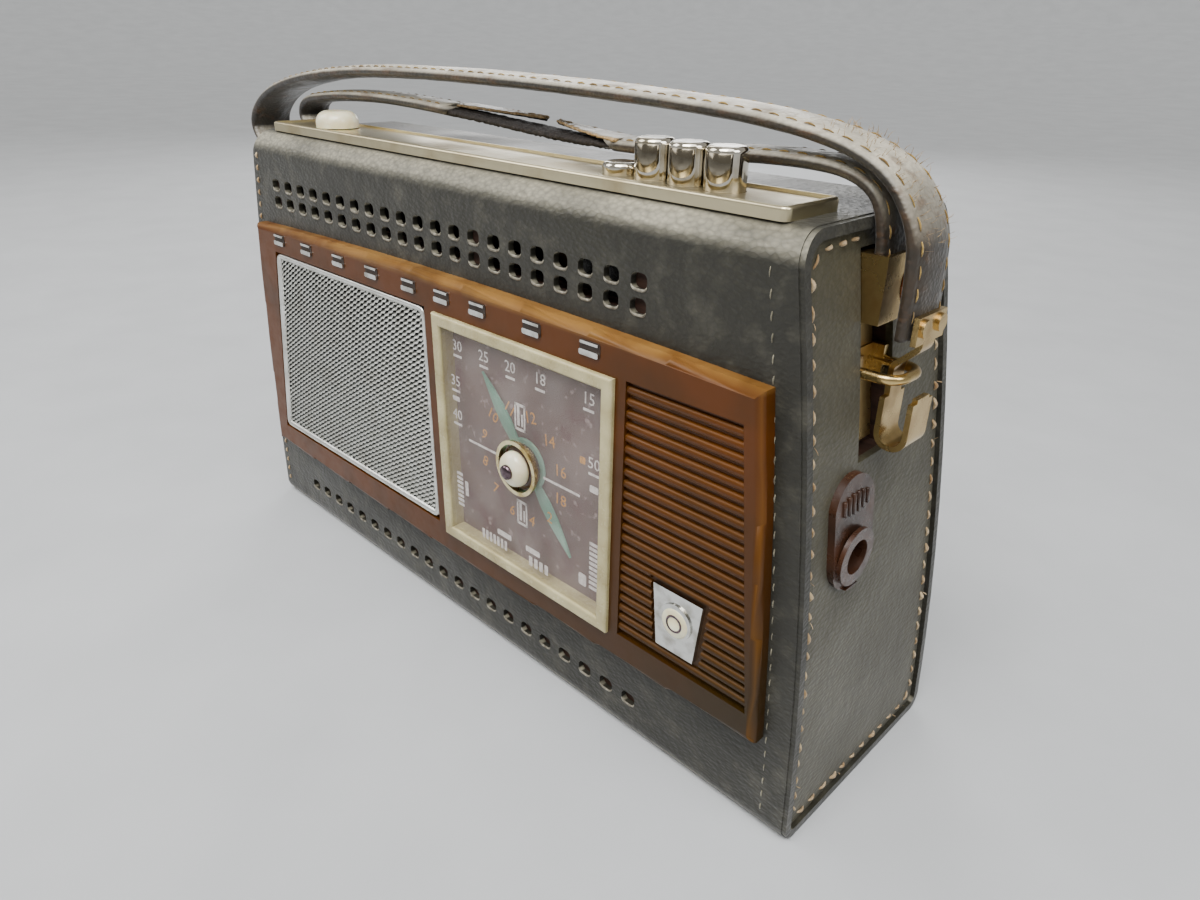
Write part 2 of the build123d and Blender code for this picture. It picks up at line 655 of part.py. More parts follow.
# ---------------------------------------------------------------- speaker
def speaker_pieces():
    """Round speaker on the back of the baffle: basket, cone and magnet."""
    y0 = BAFFLE_Y1
    flange = 1.5
    cone_end = y0 + SPEAKER_DEPTH - 16
    basket = rod_y(SPEAKER_D, y0, y0 + flange, SPEAKER_X, SPEAKER_Z)
    bell_length = cone_end - y0 - flange
    bell = Pos(SPEAKER_X, y0 + flange + bell_length / 2, SPEAKER_Z) * Rot(-90, 0, 0) * Cone(
        SPEAKER_D / 2 - 3, MAGNET_D / 2, bell_length)
    basket += bell
    basket -= Pos(SPEAKER_X, y0 + bell_length / 2, SPEAKER_Z) * Rot(-90, 0, 0) * Cone(
        SPEAKER_D / 2 - 4.2, MAGNET_D / 2 - 2, bell_length)
    basket -= rod_y(CONE_D + 3, y0 - 1, y0 + 0.6, SPEAKER_X, SPEAKER_Z)
    window = Pos(SPEAKER_X, y0 + 14, SPEAKER_Z)
    for i in range(4):
        basket -= window * Rot(0, 45 + 90 * i, 0) * Pos(34, 0, 0) * Box(22, 9, 24)
    save("speaker_basket", basket)

    depth = 16.0
    outer = Pos(SPEAKER_X, y0 + 0.6 + depth / 2, SPEAKER_Z) * Rot(-90, 0, 0) * Cone(CONE_D / 2 - 1, 10, depth)
    inner = Pos(SPEAKER_X, y0 - 0.4 + depth / 2, SPEAKER_Z) * Rot(-90, 0, 0) * Cone(CONE_D / 2 - 2, 9, depth)
    cone = outer - inner
    cone += rod_y(CONE_D + 3, y0, y0 + 0.6, SPEAKER_X, SPEAKER_Z) - rod_y(
        CONE_D - 4, y0 - 1, y0 + 2, SPEAKER_X, SPEAKER_Z)
    cap = rod_y(20.5, y0 + depth - 1.5, y0 + depth - 0.7, SPEAKER_X, SPEAKER_Z)
    save("speaker_cone", cone + cap)

    magnet = rod_y(MAGNET_D, cone_end, cone_end + 12, SPEAKER_X, SPEAKER_Z)
    save("speaker_magnet", fillet(magnet.edges(), 0.8))


# ---------------------------------------------------------------- electronics
def board_pieces():
    """Circuit board on its posts with the parts soldered to its rear face."""
    x0, x1 = BOARD_X
    z0, z1 = BOARD_Z
    rear = BOARD_Y + BOARD_T
    board = box(x0, x1, BOARD_Y, rear, z0, z1)
    board -= rod_y(SLEEVE_D + 3, BOARD_Y - 1, rear + 1, DIAL_X, DIAL_Z)
    save("circuit_board", board)

    corners = [(x, z) for x in (x0 + 5, x1 - 5) for z in (z0 + 5, z1 - 5)]
    posts = [rod_y(POST_D, BAFFLE_Y1, BOARD_Y, x, z) for x, z in corners]
    posts += [rod_y(POST_D, BOARD_Y - 4, BOARD_Y, DIAL_X + side * 14, DIAL_Z - 17) for side in (-1, 1)]
    save("board_posts", Compound(children=posts))

    def upright(w, h, deep, x, z):
        return box(x - w / 2, x + w / 2, rear, rear + deep, z - h / 2, z + h / 2)

    output = upright(20, 16, 4, 84, 60) + upright(14, 24, 9, 84, 60)
    driver = upright(16, 13, 4, 8, 60) + upright(11, 19, 8, 8, 60)
    save("transformers", Compound(children=[output, driver]))

    cans = [fillet(upright(10, 10, 9, 60 + 15 * i, 112).edges().filter_by(Axis.Y), 1.0) for i in range(3)]
    save("if_cans", Compound(children=cans))

    smooth = [rod_z(8, 88, 104, x, rear + 4) for x in (4, 60, 74)]
    save("electrolytics", Compound(children=smooth))

    small = [rod_y(6, rear, rear + 6.5, x, 120) for x in (-1, 8, 17, 26)]
    small += [rod_y(6, rear, rear + 6.5, x, 78) for x in (66, 98)]
    save("transistors", Compound(children=small))

    strips = [rod_z(2.4, 52, 60, 32 + 5 * i, rear + 1.2) for i in range(7)]
    strips += [rod_z(2.4, 104, 112, 22 + 5 * i, rear + 1.2) for i in range(5)]
    save("resistors", Compound(children=strips))


def aerial_pieces():
    """Ferrite rod with its windings in two clips under the top."""
    x0, x1 = ROD_X
    save("ferrite_rod", rod_x(ROD_D, x0, x1, ROD_Y, ROD_Z))
    spans = [(-72, -40), (-30, -16), (30, 62)]
    coils = [rod_x(COIL_D, a, b, ROD_Y, ROD_Z) - rod_x(ROD_D, a - 1, b + 1, ROD_Y, ROD_Z) for a, b in spans]
    save("aerial_coils", Compound(children=coils))
    clips = []
    for x in (x0 + 12, x1 - 12):
        clip = box(x - 3, x + 3, ROD_Y - 8, ROD_Y + 8, ROD_Z - 7, CEILING_Z)
        clips.append(clip - rod_x(ROD_D, x - 4, x + 4, ROD_Y, ROD_Z))
    save("rod_clips", Compound(children=clips))


def battery_pieces():
    """Trough on the floor with four round cells between two spring contacts."""
    length = CELL_L * CELLS
    x0 = -length / 2
    axis_z = FLOOR_Z + TRAY_WALL + CELL_D / 2
    side = CELL_D / 2 + TRAY_WALL
    contact = 2.0
    end = length / 2 + contact + TRAY_WALL
    tray = box(-end, end, TRAY_Y - side, TRAY_Y + side, FLOOR_Z, FLOOR_Z + 18)
    tray -= box(-end + TRAY_WALL, end - TRAY_WALL, TRAY_Y - side + TRAY_WALL, TRAY_Y + side - TRAY_WALL,
                FLOOR_Z + TRAY_WALL, FLOOR_Z + 30)
    save("battery_tray", tray)
    cells = []
    for i in range(CELLS):
        a = x0 + CELL_L * i
        cell = rod_x(CELL_D, a, a + CELL_L - 1.5, TRAY_Y, axis_z)
        cells.append(cell + rod_x(6, a + CELL_L - 1.5, a + CELL_L, TRAY_Y, axis_z))
    save("battery_cells", Compound(children=cells))
    left = box(x0 - contact, x0, TRAY_Y - 6, TRAY_Y + 6, FLOOR_Z + TRAY_WALL, axis_z + 6)
    right = box(-x0, -x0 + contact, TRAY_Y - 6, TRAY_Y + 6, FLOOR_Z + TRAY_WALL, axis_z + 6)
    save("battery_contacts", Compound(children=[left, right]))


# ---------------------------------------------------------------- end fittings
def socket_pieces():
    """Car-aerial socket in the right end and its moulded escutcheon."""
    surface = half_width(SOCKET_Z)
    body = rod_x(SOCKET_OD, surface - SOCKET_LEN, surface + ESCUTCHEON_T, SOCKET_Y, SOCKET_Z)
    body += rod_x(SOCKET_RING, surface + ESCUTCHEON_T, surface + ESCUTCHEON_T + 1.2, SOCKET_Y, SOCKET_Z)
    body -= rod_x(SOCKET_BORE, surface - SOCKET_LEN + 2, FAR / 2, SOCKET_Y, SOCKET_Z)
    save("aerial_socket", body)

    half = ESCUTCHEON_W / 2
    rise = SOCKET_Z + ESCUTCHEON_RISE
    base = ThreePointArc((SOCKET_Y - half, SOCKET_Z), (SOCKET_Y, SOCKET_Z - half), (SOCKET_Y + half, SOCKET_Z))
    right = Line((SOCKET_Y + half, SOCKET_Z), (SOCKET_Y + half, rise))
    arch = ThreePointArc((SOCKET_Y + half, rise), (SOCKET_Y, rise + 7), (SOCKET_Y - half, rise))
    left = Line((SOCKET_Y - half, rise), (SOCKET_Y - half, SOCKET_Z))
    outline = Plane.YZ * make_face(Curve() + [base, right, arch, left])
    plate = extrude(outline, FAR / 2) & (Pos(ESCUTCHEON_T, 0, 0) * OUTER)
    plate -= OUTER
    plate -= rod_x(SOCKET_OD, 0, FAR / 2, SOCKET_Y, SOCKET_Z)
    plate -= box(surface + ESCUTCHEON_T, FAR / 2, SOCKET_Y - 9, SOCKET_Y + 9, SOCKET_Z - 9, SOCKET_Z + 9)
    save("aerial_escutcheon", plate)


def anchor_rail():
    """Brass rail on the slot floor with the loop that the strap hooks into."""
    plate = box(80, FAR / 2, STRAP_Y - RAIL_W / 2, STRAP_Y + RAIL_W / 2, SLOT_Z[0] + 2, SLOT_Z[1] - 1)
    plate &= case_solid(SLOT_DEPTH - RAIL_T, 0)
    plate -= case_solid(SLOT_DEPTH, 0)
    root = half_width(LOOP_Z) - SLOT_DEPTH + RAIL_T / 2
    half = 6.5
    loop = FilletPolyline((root, STRAP_Y - half), (LOOP_OUT, STRAP_Y - half), (LOOP_OUT, STRAP_Y + half),
                          (root, STRAP_Y + half), radius=4.5)
    path = Pos(0, 0, LOOP_Z) * loop
    start = Plane(path @ 0, z_dir=path % 0)
    ring = sweep(start * Circle(LOOP_ROD / 2), path)
    foot = box(root - 0.6, root + 4.0, STRAP_Y - half - 1.2, STRAP_Y + half + 1.2, LOOP_Z - 4, LOOP_Z + 4)
    foot -= box(root + RAIL_T / 2, FAR, STRAP_Y - half + 1.2, STRAP_Y + half - 1.2, LOOP_Z - 9, LOOP_Z + 9)
    foot -= case_solid(SLOT_DEPTH, 0)
    return plate + foot + ring


def strap_clamp():
    """Brass channel that grips the end of the carrying handle."""
    outer_x = CLAMP_X + HANDLE_T / 2 + CLAMP_WALL
    half = HANDLE_W / 2 + CLAMP_WALL
    clamp = box(80, outer_x, STRAP_Y - half, STRAP_Y + half, CLAMP_Z[0], CLAMP_Z[1])
    clamp -= case_solid(SLOT_DEPTH - RAIL_T, 0)
    clamp -= box(CLAMP_X - HANDLE_T / 2, CLAMP_X + HANDLE_T / 2, STRAP_Y - HANDLE_W / 2,
                 STRAP_Y + HANDLE_W / 2, 0, FAR)
    return clamp


def strap_hook():
    """Brass plate on the end of the long strap, necked down into a J hook."""
    plate_x = LONG_END_X + LONG_T / 2 + HOOK_T / 2
    neck_x = 133.4
    tip_x = 140.6
    bend = 111.0
    route = [(plate_x, LONG_END_Z + HOOK_GRIP), (plate_x, LONG_END_Z - 2.5), (neck_x, LONG_END_Z - 8.0),
             (neck_x, bend), (tip_x, bend), (tip_x, 124.5)]
    line = FilletPolyline(*route, radius=[2.4, 2.4, 3.4, 3.4])
    path = Pos(0, STRAP_Y, 0) * (Plane.XZ * line)
    start = Plane(path @ 0, z_dir=path % 0, x_dir=(0, 1, 0))
    strip = sweep(start * Rectangle(14, HOOK_T), path)
    head = box(100, 200, STRAP_Y - 7, STRAP_Y + 7, LONG_END_Z - 1, 200)
    neck = box(100, 200, STRAP_Y - 3, STRAP_Y + 3, LOOP_Z - 6, 200)
    jaw = box(100, 200, STRAP_Y - 5, STRAP_Y + 5, 0, LOOP_Z - 5)
    hook = strip & (head + neck + jaw)
    for side in (-4, 4):
        hook += rod_x(4.4, plate_x, plate_x + HOOK_T / 2 + 0.8, STRAP_Y + side, LONG_END_Z + HOOK_GRIP / 2)
    return hook


HANDLE_ROUTE = [(CLAMP_X, CLAMP_Z[0]), (CLAMP_X, 165.0), (119.5, 173.5), (98.0, 175.0), (62.0, 172.5),
                (24.0, 172.5), (-14.0, 175.0), (-54.0, 177.5), (-88.0, 178.0), (-116.0, 176.5),
                (-134.0, 174.0), (-137.0, 166.5), (-CLAMP_X, 162.5), (-CLAMP_X, CLAMP_Z[0])]
LONG_ROUTE = [(LONG_END_X, LONG_END_Z), (LONG_END_X, 152.0), (135.0, 164.5), (124.5, 177.0),
              (98.0, 183.0), (56.0, 185.5), (6.0, 187.0), (-46.0, 187.5), (-96.0, 186.5),
              (-136.0, 182.0), (-164.0, 175.0), (-179.0, 163.5), (-172.0, 153.5), (-153.0, 151.5),
              (-LONG_END_X, 150.0), (-LONG_END_X, LONG_END_Z)]


def strap_pieces():
    """Rails, clamps, hooks, the fixed handle and the long hooked strap."""
    rail = anchor_rail()
    save("anchor_rails", Compound(children=[rail, mirrored(rail)]))
    clamp = strap_clamp()
    save("handle_clamps", Compound(children=[clamp, mirrored(clamp)]))
    hook = strap_hook()
    save("strap_hooks", Compound(children=[hook, mirrored(hook)]))
    save("carry_handle", strap_solid(HANDLE_ROUTE, HANDLE_W, HANDLE_T))
    save("long_strap", strap_solid(LONG_ROUTE, LONG_W, LONG_T))
    print("handle radii", [round(r, 1) for r in corner_radii(HANDLE_ROUTE)])
    print("long strap radii", [round(r, 1) for r in corner_radii(LONG_ROUTE)])


# ---------------------------------------------------------------- rear cover
def cover_pieces():
    """Hinged rear cover: board, leather, two hinges and two coin-slot locks."""
    skin = (OUTER - case_solid(-LEATHER, LEATHER)) & cover_box(0)
    board = (case_solid(-LEATHER, LEATHER) - case_solid(-LEATHER, LEATHER + COVER_BOARD)) & cover_box(0)
    lean = math.degrees(math.atan(LEAN))
    locks = []
    lock_y = back_y(LOCK_Z)
    for side in (-1, 1):
        seat = Pos(side * LOCK_X, lock_y, LOCK_Z) * Rot(lean, 0, 0)
        hole = seat * rod_y(LOCK_SHANK + 2 * RUN_FIT, -8, 4, 0, 0)
        skin -= hole
        board -= hole
        lock = rod_y(LOCK_D, 0.1, 2.1, 0, 0)
        lock = fillet(lock.edges().sort_by(Axis.Y)[-1], 0.8)
        lock += rod_y(LOCK_SHANK, -LEATHER - COVER_BOARD - 2.5, 0.1, 0, 0)
        lock += rod_y(9.0, -LEATHER - COVER_BOARD - 2.5, -LEATHER - COVER_BOARD - 0.3, 0, 0)
        lock -= box(-LOCK_D, LOCK_D, 1.2, 4, -0.8, 0.8)
        locks.append(seat * lock)
    save("cover_leather", skin)
    save("cover_board", board)
    save("cover_lock_left", locks[0])
    save("cover_lock_right", locks[1])

    axis_z = COVER_Z[0]
    axis_y = back_y(axis_z) + HINGE_OUT
    fixed = []
    moving = []
    pins = []
    third = HINGE_L / 3
    root = HINGE_OUT - 0.4
    for x in HINGE_XS:
        a = x - HINGE_L / 2
        pins.append(rod_x(PIN_D, a, a + HINGE_L, axis_y, axis_z))
        low = box(a, a + HINGE_L, 0, FAR / 4, axis_z - 9, axis_z - KNUCKLE_D / 2 - 0.1)
        leaf = (low & (Pos(0, 1.0, 0) * OUTER)) - OUTER
        for k in (0, 2):
            span = [a + third * k + 0.1, a + third * (k + 1) - 0.1]
            leaf += rod_x(KNUCKLE_D, span[0], span[1], axis_y, axis_z)
            leaf += box(span[0], span[1], axis_y - root, axis_y + 0.5, axis_z - 3, axis_z)
        leaf -= rod_x(PIN_D, a - 1, a + HINGE_L + 1, axis_y, axis_z)
        leaf -= OUTER
        fixed.append(leaf)
        high = box(a, a + HINGE_L, 0, FAR / 4, axis_z + KNUCKLE_D / 2 + 0.1, axis_z + 11)
        flap = (high & (Pos(0, 1.0, 0) * OUTER)) - OUTER
        span = [a + third + 0.1, a + 2 * third - 0.1]
        flap += rod_x(KNUCKLE_D, span[0], span[1], axis_y, axis_z)
        flap += box(span[0], span[1], axis_y - root, axis_y + 0.5, axis_z, axis_z + 3)
        flap -= rod_x(PIN_D + 2 * RUN_FIT, a - 1, a + HINGE_L + 1, axis_y, axis_z)
        flap -= OUTER
        moving.append(flap)
    save("hinge_leaves_fixed", Compound(children=fixed + pins))
    save("hinge_leaves_cover", Compound(children=moving))


leather_pieces()
wood_pieces()
fascia_pieces()
grille_pieces()
pointer_front, spindle_tip = dial_pieces()
capacitor_pieces(pointer_front, spindle_tip)
control_pieces()
speaker_pieces()
board_pieces()
aerial_pieces()
battery_pieces()
socket_pieces()
strap_pieces()
cover_pieces()
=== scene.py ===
"""A leather-cased portable radio: its surfaces, trim, dial and straps, built on its CAD frame."""

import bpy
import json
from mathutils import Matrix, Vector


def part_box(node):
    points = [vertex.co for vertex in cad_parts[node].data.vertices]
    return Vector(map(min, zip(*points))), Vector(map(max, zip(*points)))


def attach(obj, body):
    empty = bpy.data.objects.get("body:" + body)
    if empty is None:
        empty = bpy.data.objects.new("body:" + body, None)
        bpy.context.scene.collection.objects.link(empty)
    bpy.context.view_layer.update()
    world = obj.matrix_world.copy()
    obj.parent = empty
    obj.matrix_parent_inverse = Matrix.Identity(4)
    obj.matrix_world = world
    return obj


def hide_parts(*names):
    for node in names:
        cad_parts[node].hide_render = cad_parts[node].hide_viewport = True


bl_info = {
    "name": "Leather Portable Radio",
    "version": (1, 0, 0),
    "blender": (4, 5, 0),
    "location": "View3D > Sidebar > Radio",
    "description": "Builds a leather-cased portable radio on its CAD frame",
    "category": "Object",
}

import json
import math
import random

import bpy
from mathutils import Matrix, Vector

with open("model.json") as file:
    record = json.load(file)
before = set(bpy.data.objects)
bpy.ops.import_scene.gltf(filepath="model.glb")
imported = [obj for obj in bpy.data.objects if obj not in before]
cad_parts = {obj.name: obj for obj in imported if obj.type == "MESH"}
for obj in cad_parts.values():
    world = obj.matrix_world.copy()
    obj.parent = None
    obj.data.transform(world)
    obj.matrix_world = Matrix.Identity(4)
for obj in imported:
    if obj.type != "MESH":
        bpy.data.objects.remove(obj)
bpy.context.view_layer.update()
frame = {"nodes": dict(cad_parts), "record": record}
NODES = frame["nodes"]
SLOT_OF = {part["node"]: part["material_slot"] for part in frame["record"]["subparts"]}

MM = 0.001
STRAP_Y = -0.006
OUTSIDE = 0.3  # where a probing line starts, well clear of the case
UP = Vector((0, 0, 1))
ACROSS = Vector((1, 0, 0))
DEEP = Vector((0, 1, 0))


# ---------------------------------------------------------------- nodes and finishes

def linear(code):
    """An sRGB hex colour as linear red, green, blue and alpha. One from the sidebar is linear already."""
    if not isinstance(code, str):
        return tuple(code)
    channels = [int(code[i:i + 2], 16) / 255 for i in (1, 3, 5)]
    return (*[c / 12.92 if c <= 0.04045 else ((c + 0.055) / 1.055) ** 2.4 for c in channels], 1.0)


def picked(field):
    """One of the radio's main colours, as set in the sidebar."""
    return getattr(bpy.context.scene.radio_colours, field)


def add(tree, kind, feeds=None, **settings):
    """Adds a node, sets its properties, and fills or links its inputs."""
    node = tree.nodes.new(kind)
    for name, value in settings.items():
        setattr(node, name, value)
    for key, value in (feeds or {}).items():
        if isinstance(value, bpy.types.NodeSocket):
            tree.links.new(value, node.inputs[key])
        else:
            node.inputs[key].default_value = value
    return node


def new_finish(name, **sockets):
    """A material with one principled shader, whose uniform sockets are set by name."""
    material = bpy.data.materials.new(name)
    material.use_nodes = True
    tree = material.node_tree
    tree.nodes.clear()
    feeds = {key.replace("_", " "): value for key, value in sockets.items()}
    shader = add(tree, "ShaderNodeBsdfPrincipled", feeds)
    add(tree, "ShaderNodeOutputMaterial", {"Surface": shader.outputs[0]})
    return material, tree, shader


def patches(tree, size, low, high, detail=3.0, stretch=(1, 1, 1)):
    """A mask of soft patches, size in mm, that rises from 0 to 1 between two noise levels."""
    place = add(tree, "ShaderNodeTexCoord").outputs["Object"]
    place = add(tree, "ShaderNodeMapping", {"Vector": place, "Scale": stretch}).outputs[0]
    noise = add(tree, "ShaderNodeTexNoise", {"Vector": place, "Scale": 1000 / size, "Detail": detail})
    feeds = {"Value": noise.outputs[0], "From Min": low, "From Max": high}
    return add(tree, "ShaderNodeMapRange", feeds).outputs[0]


def rolled_edges(tree, start, full):
    """A mask of rounded edges, found from how far the surface turns away from the three axes."""
    normal = add(tree, "ShaderNodeTexCoord").outputs["Normal"]
    size = add(tree, "ShaderNodeVectorMath", {0: normal}, operation="ABSOLUTE").outputs[0]
    axes = add(tree, "ShaderNodeSeparateXYZ", {0: size}).outputs
    wide = add(tree, "ShaderNodeMath", {0: axes[0], 1: axes[1]}, operation="MAXIMUM").outputs[0]
    most = add(tree, "ShaderNodeMath", {0: wide, 1: axes[2]}, operation="MAXIMUM").outputs[0]
    feeds = {"Value": most, "From Min": start, "From Max": full}
    return add(tree, "ShaderNodeMapRange", feeds).outputs[0]


def tint(tree, shader, base, layers):
    """Lays each (mask, colour) over the base colour, in order.
    A layer may end in two shares of the mask: the least and the most that it covers."""
    colour = base
    for mask, over, *shares in layers:
        if shares:
            feeds = {"Value": mask, "To Min": shares[0], "To Max": shares[1]}
            mask = add(tree, "ShaderNodeMapRange", feeds).outputs[0]
        colour = add(tree, "ShaderNodeMix", {0: mask, 6: colour, 7: over}, data_type="RGBA").outputs[2]
    tree.links.new(colour, shader.inputs["Base Color"])


def relief(tree, shader, heights):
    """Adds each (mask, depth in mm) as bump, one on the other."""
    normal = None
    for mask, depth in heights:
        feeds = {"Height": mask, "Distance": depth * MM, "Strength": 1.0}
        if normal is not None:
            feeds["Normal"] = normal
        normal = add(tree, "ShaderNodeBump", feeds).outputs[0]
    tree.links.new(normal, shader.inputs["Normal"])


def polish(tree, shader, mask, smooth, rough):
    """Lets the roughness run from smooth to rough with the mask."""
    feeds = {"Value": mask, "To Min": smooth, "To Max": rough}
    spread = add(tree, "ShaderNodeMapRange", feeds).outputs[0]
    tree.links.new(spread, shader.inputs["Roughness"])


def broken(tree, mask, cloud, least, most):
    """A mask broken up by a cloud of patches, which leaves from least to most of it."""
    feeds = {"Value": cloud, "To Min": least, "To Max": most}
    share = add(tree, "ShaderNodeMapRange", feeds).outputs[0]
    return add(tree, "ShaderNodeMath", {0: mask, 1: share}, operation="MULTIPLY").outputs[0]


def leather(name, base, shade, worn, rub_and_sheen=0.75, grain=1.3, depth=0.16, gloss=(0.42, 0.6)):
    """Chrome-tanned cowhide, pressed with a fine pebble grain and dressed with wax.
    The grain breaks the highlight up. The rolled edges are greyed partly by handling and partly as a
    painted highlight."""
    material, tree, shader = new_finish(name, IOR=1.48, Sheen_Weight=0.12, Sheen_Roughness=0.45)
    place = add(tree, "ShaderNodeTexCoord").outputs["Object"]
    warp = add(tree, "ShaderNodeTexNoise", {"Vector": place, "Scale": 500.0})
    shift = add(tree, "ShaderNodeVectorMath", {0: warp.outputs["Color"], 1: (0.0012, 0.0012, 0.0012)},
                operation="MULTIPLY").outputs[0]
    bent = add(tree, "ShaderNodeVectorMath", {0: place, 1: shift}).outputs[0]
    bent = add(tree, "ShaderNodeMapping", {"Vector": bent, "Scale": (0.7, 0.7, 1.3)}).outputs[0]
    # A pressed grain is 0.6 mm across. Drawn at twice that, it still shows from arm's length.
    pebble = add(tree, "ShaderNodeTexVoronoi", {"Vector": bent, "Scale": 1000 / grain}).outputs[0]
    cloudy = patches(tree, 38, 0.35, 0.68)
    scuffed = patches(tree, 7, 0.50, 0.74, detail=6.0)
    # Rolled edges take the pale colour: partly handling wear, partly a painted highlight along the lit
    # rolls.
    rubbed_and_lit_edges = broken(tree, rolled_edges(tree, 0.985, 0.86), cloudy, 0.35, rub_and_sheen)
    tint(tree, shader, linear(base),
         [(cloudy, linear(shade), 0.0, 0.55), (scuffed, linear(worn), 0.0, 0.10),
          (rubbed_and_lit_edges, linear(worn)), (pebble, linear(shade), 0.0, 0.6)])
    polish(tree, shader, cloudy, *gloss)
    relief(tree, shader, [(pebble, depth), (patches(tree, 6, 0.3, 0.7), 0.12)])
    return material


def metal(name, bright, dull, gloss=(0.2, 0.45), patch=6.0, cover=(0.45, 0.7), brushed=None, dent=0.012):
    """Bare or plated metal: bright where it is handled, dull in soft patches where it has tarnished."""
    material, tree, shader = new_finish(name, Metallic=1.0)
    dulled = patches(tree, patch, *cover, detail=5.0)
    tint(tree, shader, linear(bright), [(dulled, linear(dull))])
    polish(tree, shader, dulled, *gloss)
    marks = patches(tree, 1.6, 0.3, 0.7, detail=2.0, stretch=brushed or (1, 1, 1))
    relief(tree, shader, [(marks, dent)])
    return material


def plastic(name, colour, shade, gloss=(0.2, 0.35), patch=20.0, cover=(0.35, 0.7), dent=0.02,
            **sockets):
    """Moulded thermoplastic: even and slightly cloudy, with faint rubbing in the gloss."""
    material, tree, shader = new_finish(name, **{"IOR": 1.5, **sockets})
    cloud = patches(tree, patch, *cover)
    tint(tree, shader, linear(colour), [(cloud, linear(shade))])
    polish(tree, shader, patches(tree, 3.0, 0.4, 0.7), *gloss)
    relief(tree, shader, [(patches(tree, 1.5, 0.3, 0.7), dent)])
    return material


def fibrous(name, colour, shade, fibre, stretch=(1, 1, 1), gloss=(0.7, 0.9), depth=0.08, **sockets):
    """Paper, board, wood or cloth: short fibres that run one way and catch no highlight."""
    material, tree, shader = new_finish(name, **sockets)
    strands = patches(tree, fibre, 0.3, 0.7, stretch=stretch)
    tint(tree, shader, linear(colour), [(strands, linear(shade))])
    polish(tree, shader, strands, *gloss)
    relief(tree, shader, [(strands, depth)])
    return material


def amber_fascia():
    """Polystyrene sprayed amber brown on a pale body. Painted shade darkens it to olive brown lower down
    and to the right.
    Its rolled edges and top edge are paler, partly rubbed and partly as a painted highlight."""
    material, tree, shader = new_finish("sprayed_amber_polystyrene", IOR=1.42, Specular_IOR_Level=0.3,
                                        Coat_Weight=0.05, Coat_Roughness=0.1)
    place = add(tree, "ShaderNodeTexCoord")
    axes = add(tree, "ShaderNodeSeparateXYZ", {0: place.outputs["Object"]}).outputs
    # Painted shade: the colour darkens towards the right and the bottom, away from the light.
    right = add(tree, "ShaderNodeMapRange",
                {"Value": axes[0], "From Min": -0.05, "From Max": 0.13}).outputs[0]
    low = add(tree, "ShaderNodeMapRange",
              {"Value": axes[2], "From Min": 0.12, "From Max": 0.04}).outputs[0]
    painted_shade = add(tree, "ShaderNodeMath", {0: right, 1: low}, operation="MULTIPLY").outputs[0]
    # The paler top-edge band and rolled edges are partly rubbed wear and partly a painted highlight.
    top = add(tree, "ShaderNodeMapRange", {"Value": axes[2], "From Min": 0.1290, "From Max": 0.1312})
    worn = broken(tree, top.outputs[0], patches(tree, 14, 0.3, 0.6), 0.05, 0.5)
    tint(tree, shader, linear(picked("fascia")),
         [(painted_shade, linear("#2A1E06")), (patches(tree, 22, 0.45, 0.75), linear("#3F2304")),
          (rolled_edges(tree, 0.97, 0.7), linear("#86591F"), 0.0, 0.22), (worn, linear("#A67E42"))])
    polish(tree, shader, patches(tree, 5, 0.4, 0.7), 0.30, 0.44)
    relief(tree, shader, [(patches(tree, 2.4, 0.3, 0.7, 1.0), 0.012)])
    return material


def dial_face():
    """Card printed mauve brown, blotched where the colour has lifted with age."""
    material, tree, shader = new_finish("printed_card_face", Specular_IOR_Level=0.2)
    tint(tree, shader, linear(picked("dial")),
         [(patches(tree, 16, 0.38, 0.62, 5.0), linear("#76655E")),
          (patches(tree, 9, 0.50, 0.72, 5.0), linear("#5F4141")),
          (patches(tree, 3, 0.62, 0.7, 6.0), linear("#94827E"))])
    polish(tree, shader, patches(tree, 4, 0.4, 0.7), 0.4, 0.7)
    return material


def clear_lens():
    """Clear acrylic, clouded by fine scratches that lift a haze into the highlight.
    It is thin, so it is drawn by coverage and lets light reach the card behind it."""
    material, tree, shader = new_finish("clear_acrylic", IOR=1.9, Alpha=0.13)
    tint(tree, shader, linear("#A0928F"), [(patches(tree, 12, 0.45, 0.75, 5.0), linear("#CFC6C2"))])
    scratched = patches(tree, 2.2, 0.55, 0.72, 8.0, stretch=(0.4, 1, 2.5))
    polish(tree, shader, scratched, 0.06, 0.25)
    return material


def strap_hide():
    """Black bridle leather over a cord core, grey on top partly from wear and partly as a painted
    highlight, with red-brown showing at its edges.
    """
    material, tree, shader = new_finish("worn_bridle_leather", IOR=1.48, Sheen_Weight=0.15,
                                        Sheen_Roughness=0.4)
    place = add(tree, "ShaderNodeTexCoord")
    # Upward-facing surfaces are paler: partly wear and partly a painted highlight from the light above.
    up = add(tree, "ShaderNodeSeparateXYZ", {0: place.outputs["Normal"]}).outputs[2]
    crown = add(tree, "ShaderNodeMapRange", {"Value": up, "From Min": 0.15, "From Max": 0.85}).outputs[0]
    crown = broken(tree, crown, patches(tree, 10, 0.35, 0.65, 5.0), 0.6, 1.0)
    cells = {"Vector": place.outputs["Object"], "Scale": 1000 / 1.1}
    pebble = add(tree, "ShaderNodeTexVoronoi", cells).outputs[0]
    cracked = patches(tree, 5, 0.55, 0.68, 6.0, stretch=(0.5, 1, 1.5))
    tint(tree, shader, linear("#2B2721"),
         [(patches(tree, 14, 0.45, 0.7), linear("#3E3020")), (crown, linear(picked("strap"))),
          (cracked, linear("#5B3C1E"), 0.0, 0.5), (pebble, linear("#221E19"), 0.0, 0.3)])
    polish(tree, shader, patches(tree, 6, 0.4, 0.7), 0.38, 0.6)
    relief(tree, shader, [(pebble, 0.14), (cracked, 0.12)])
    return material


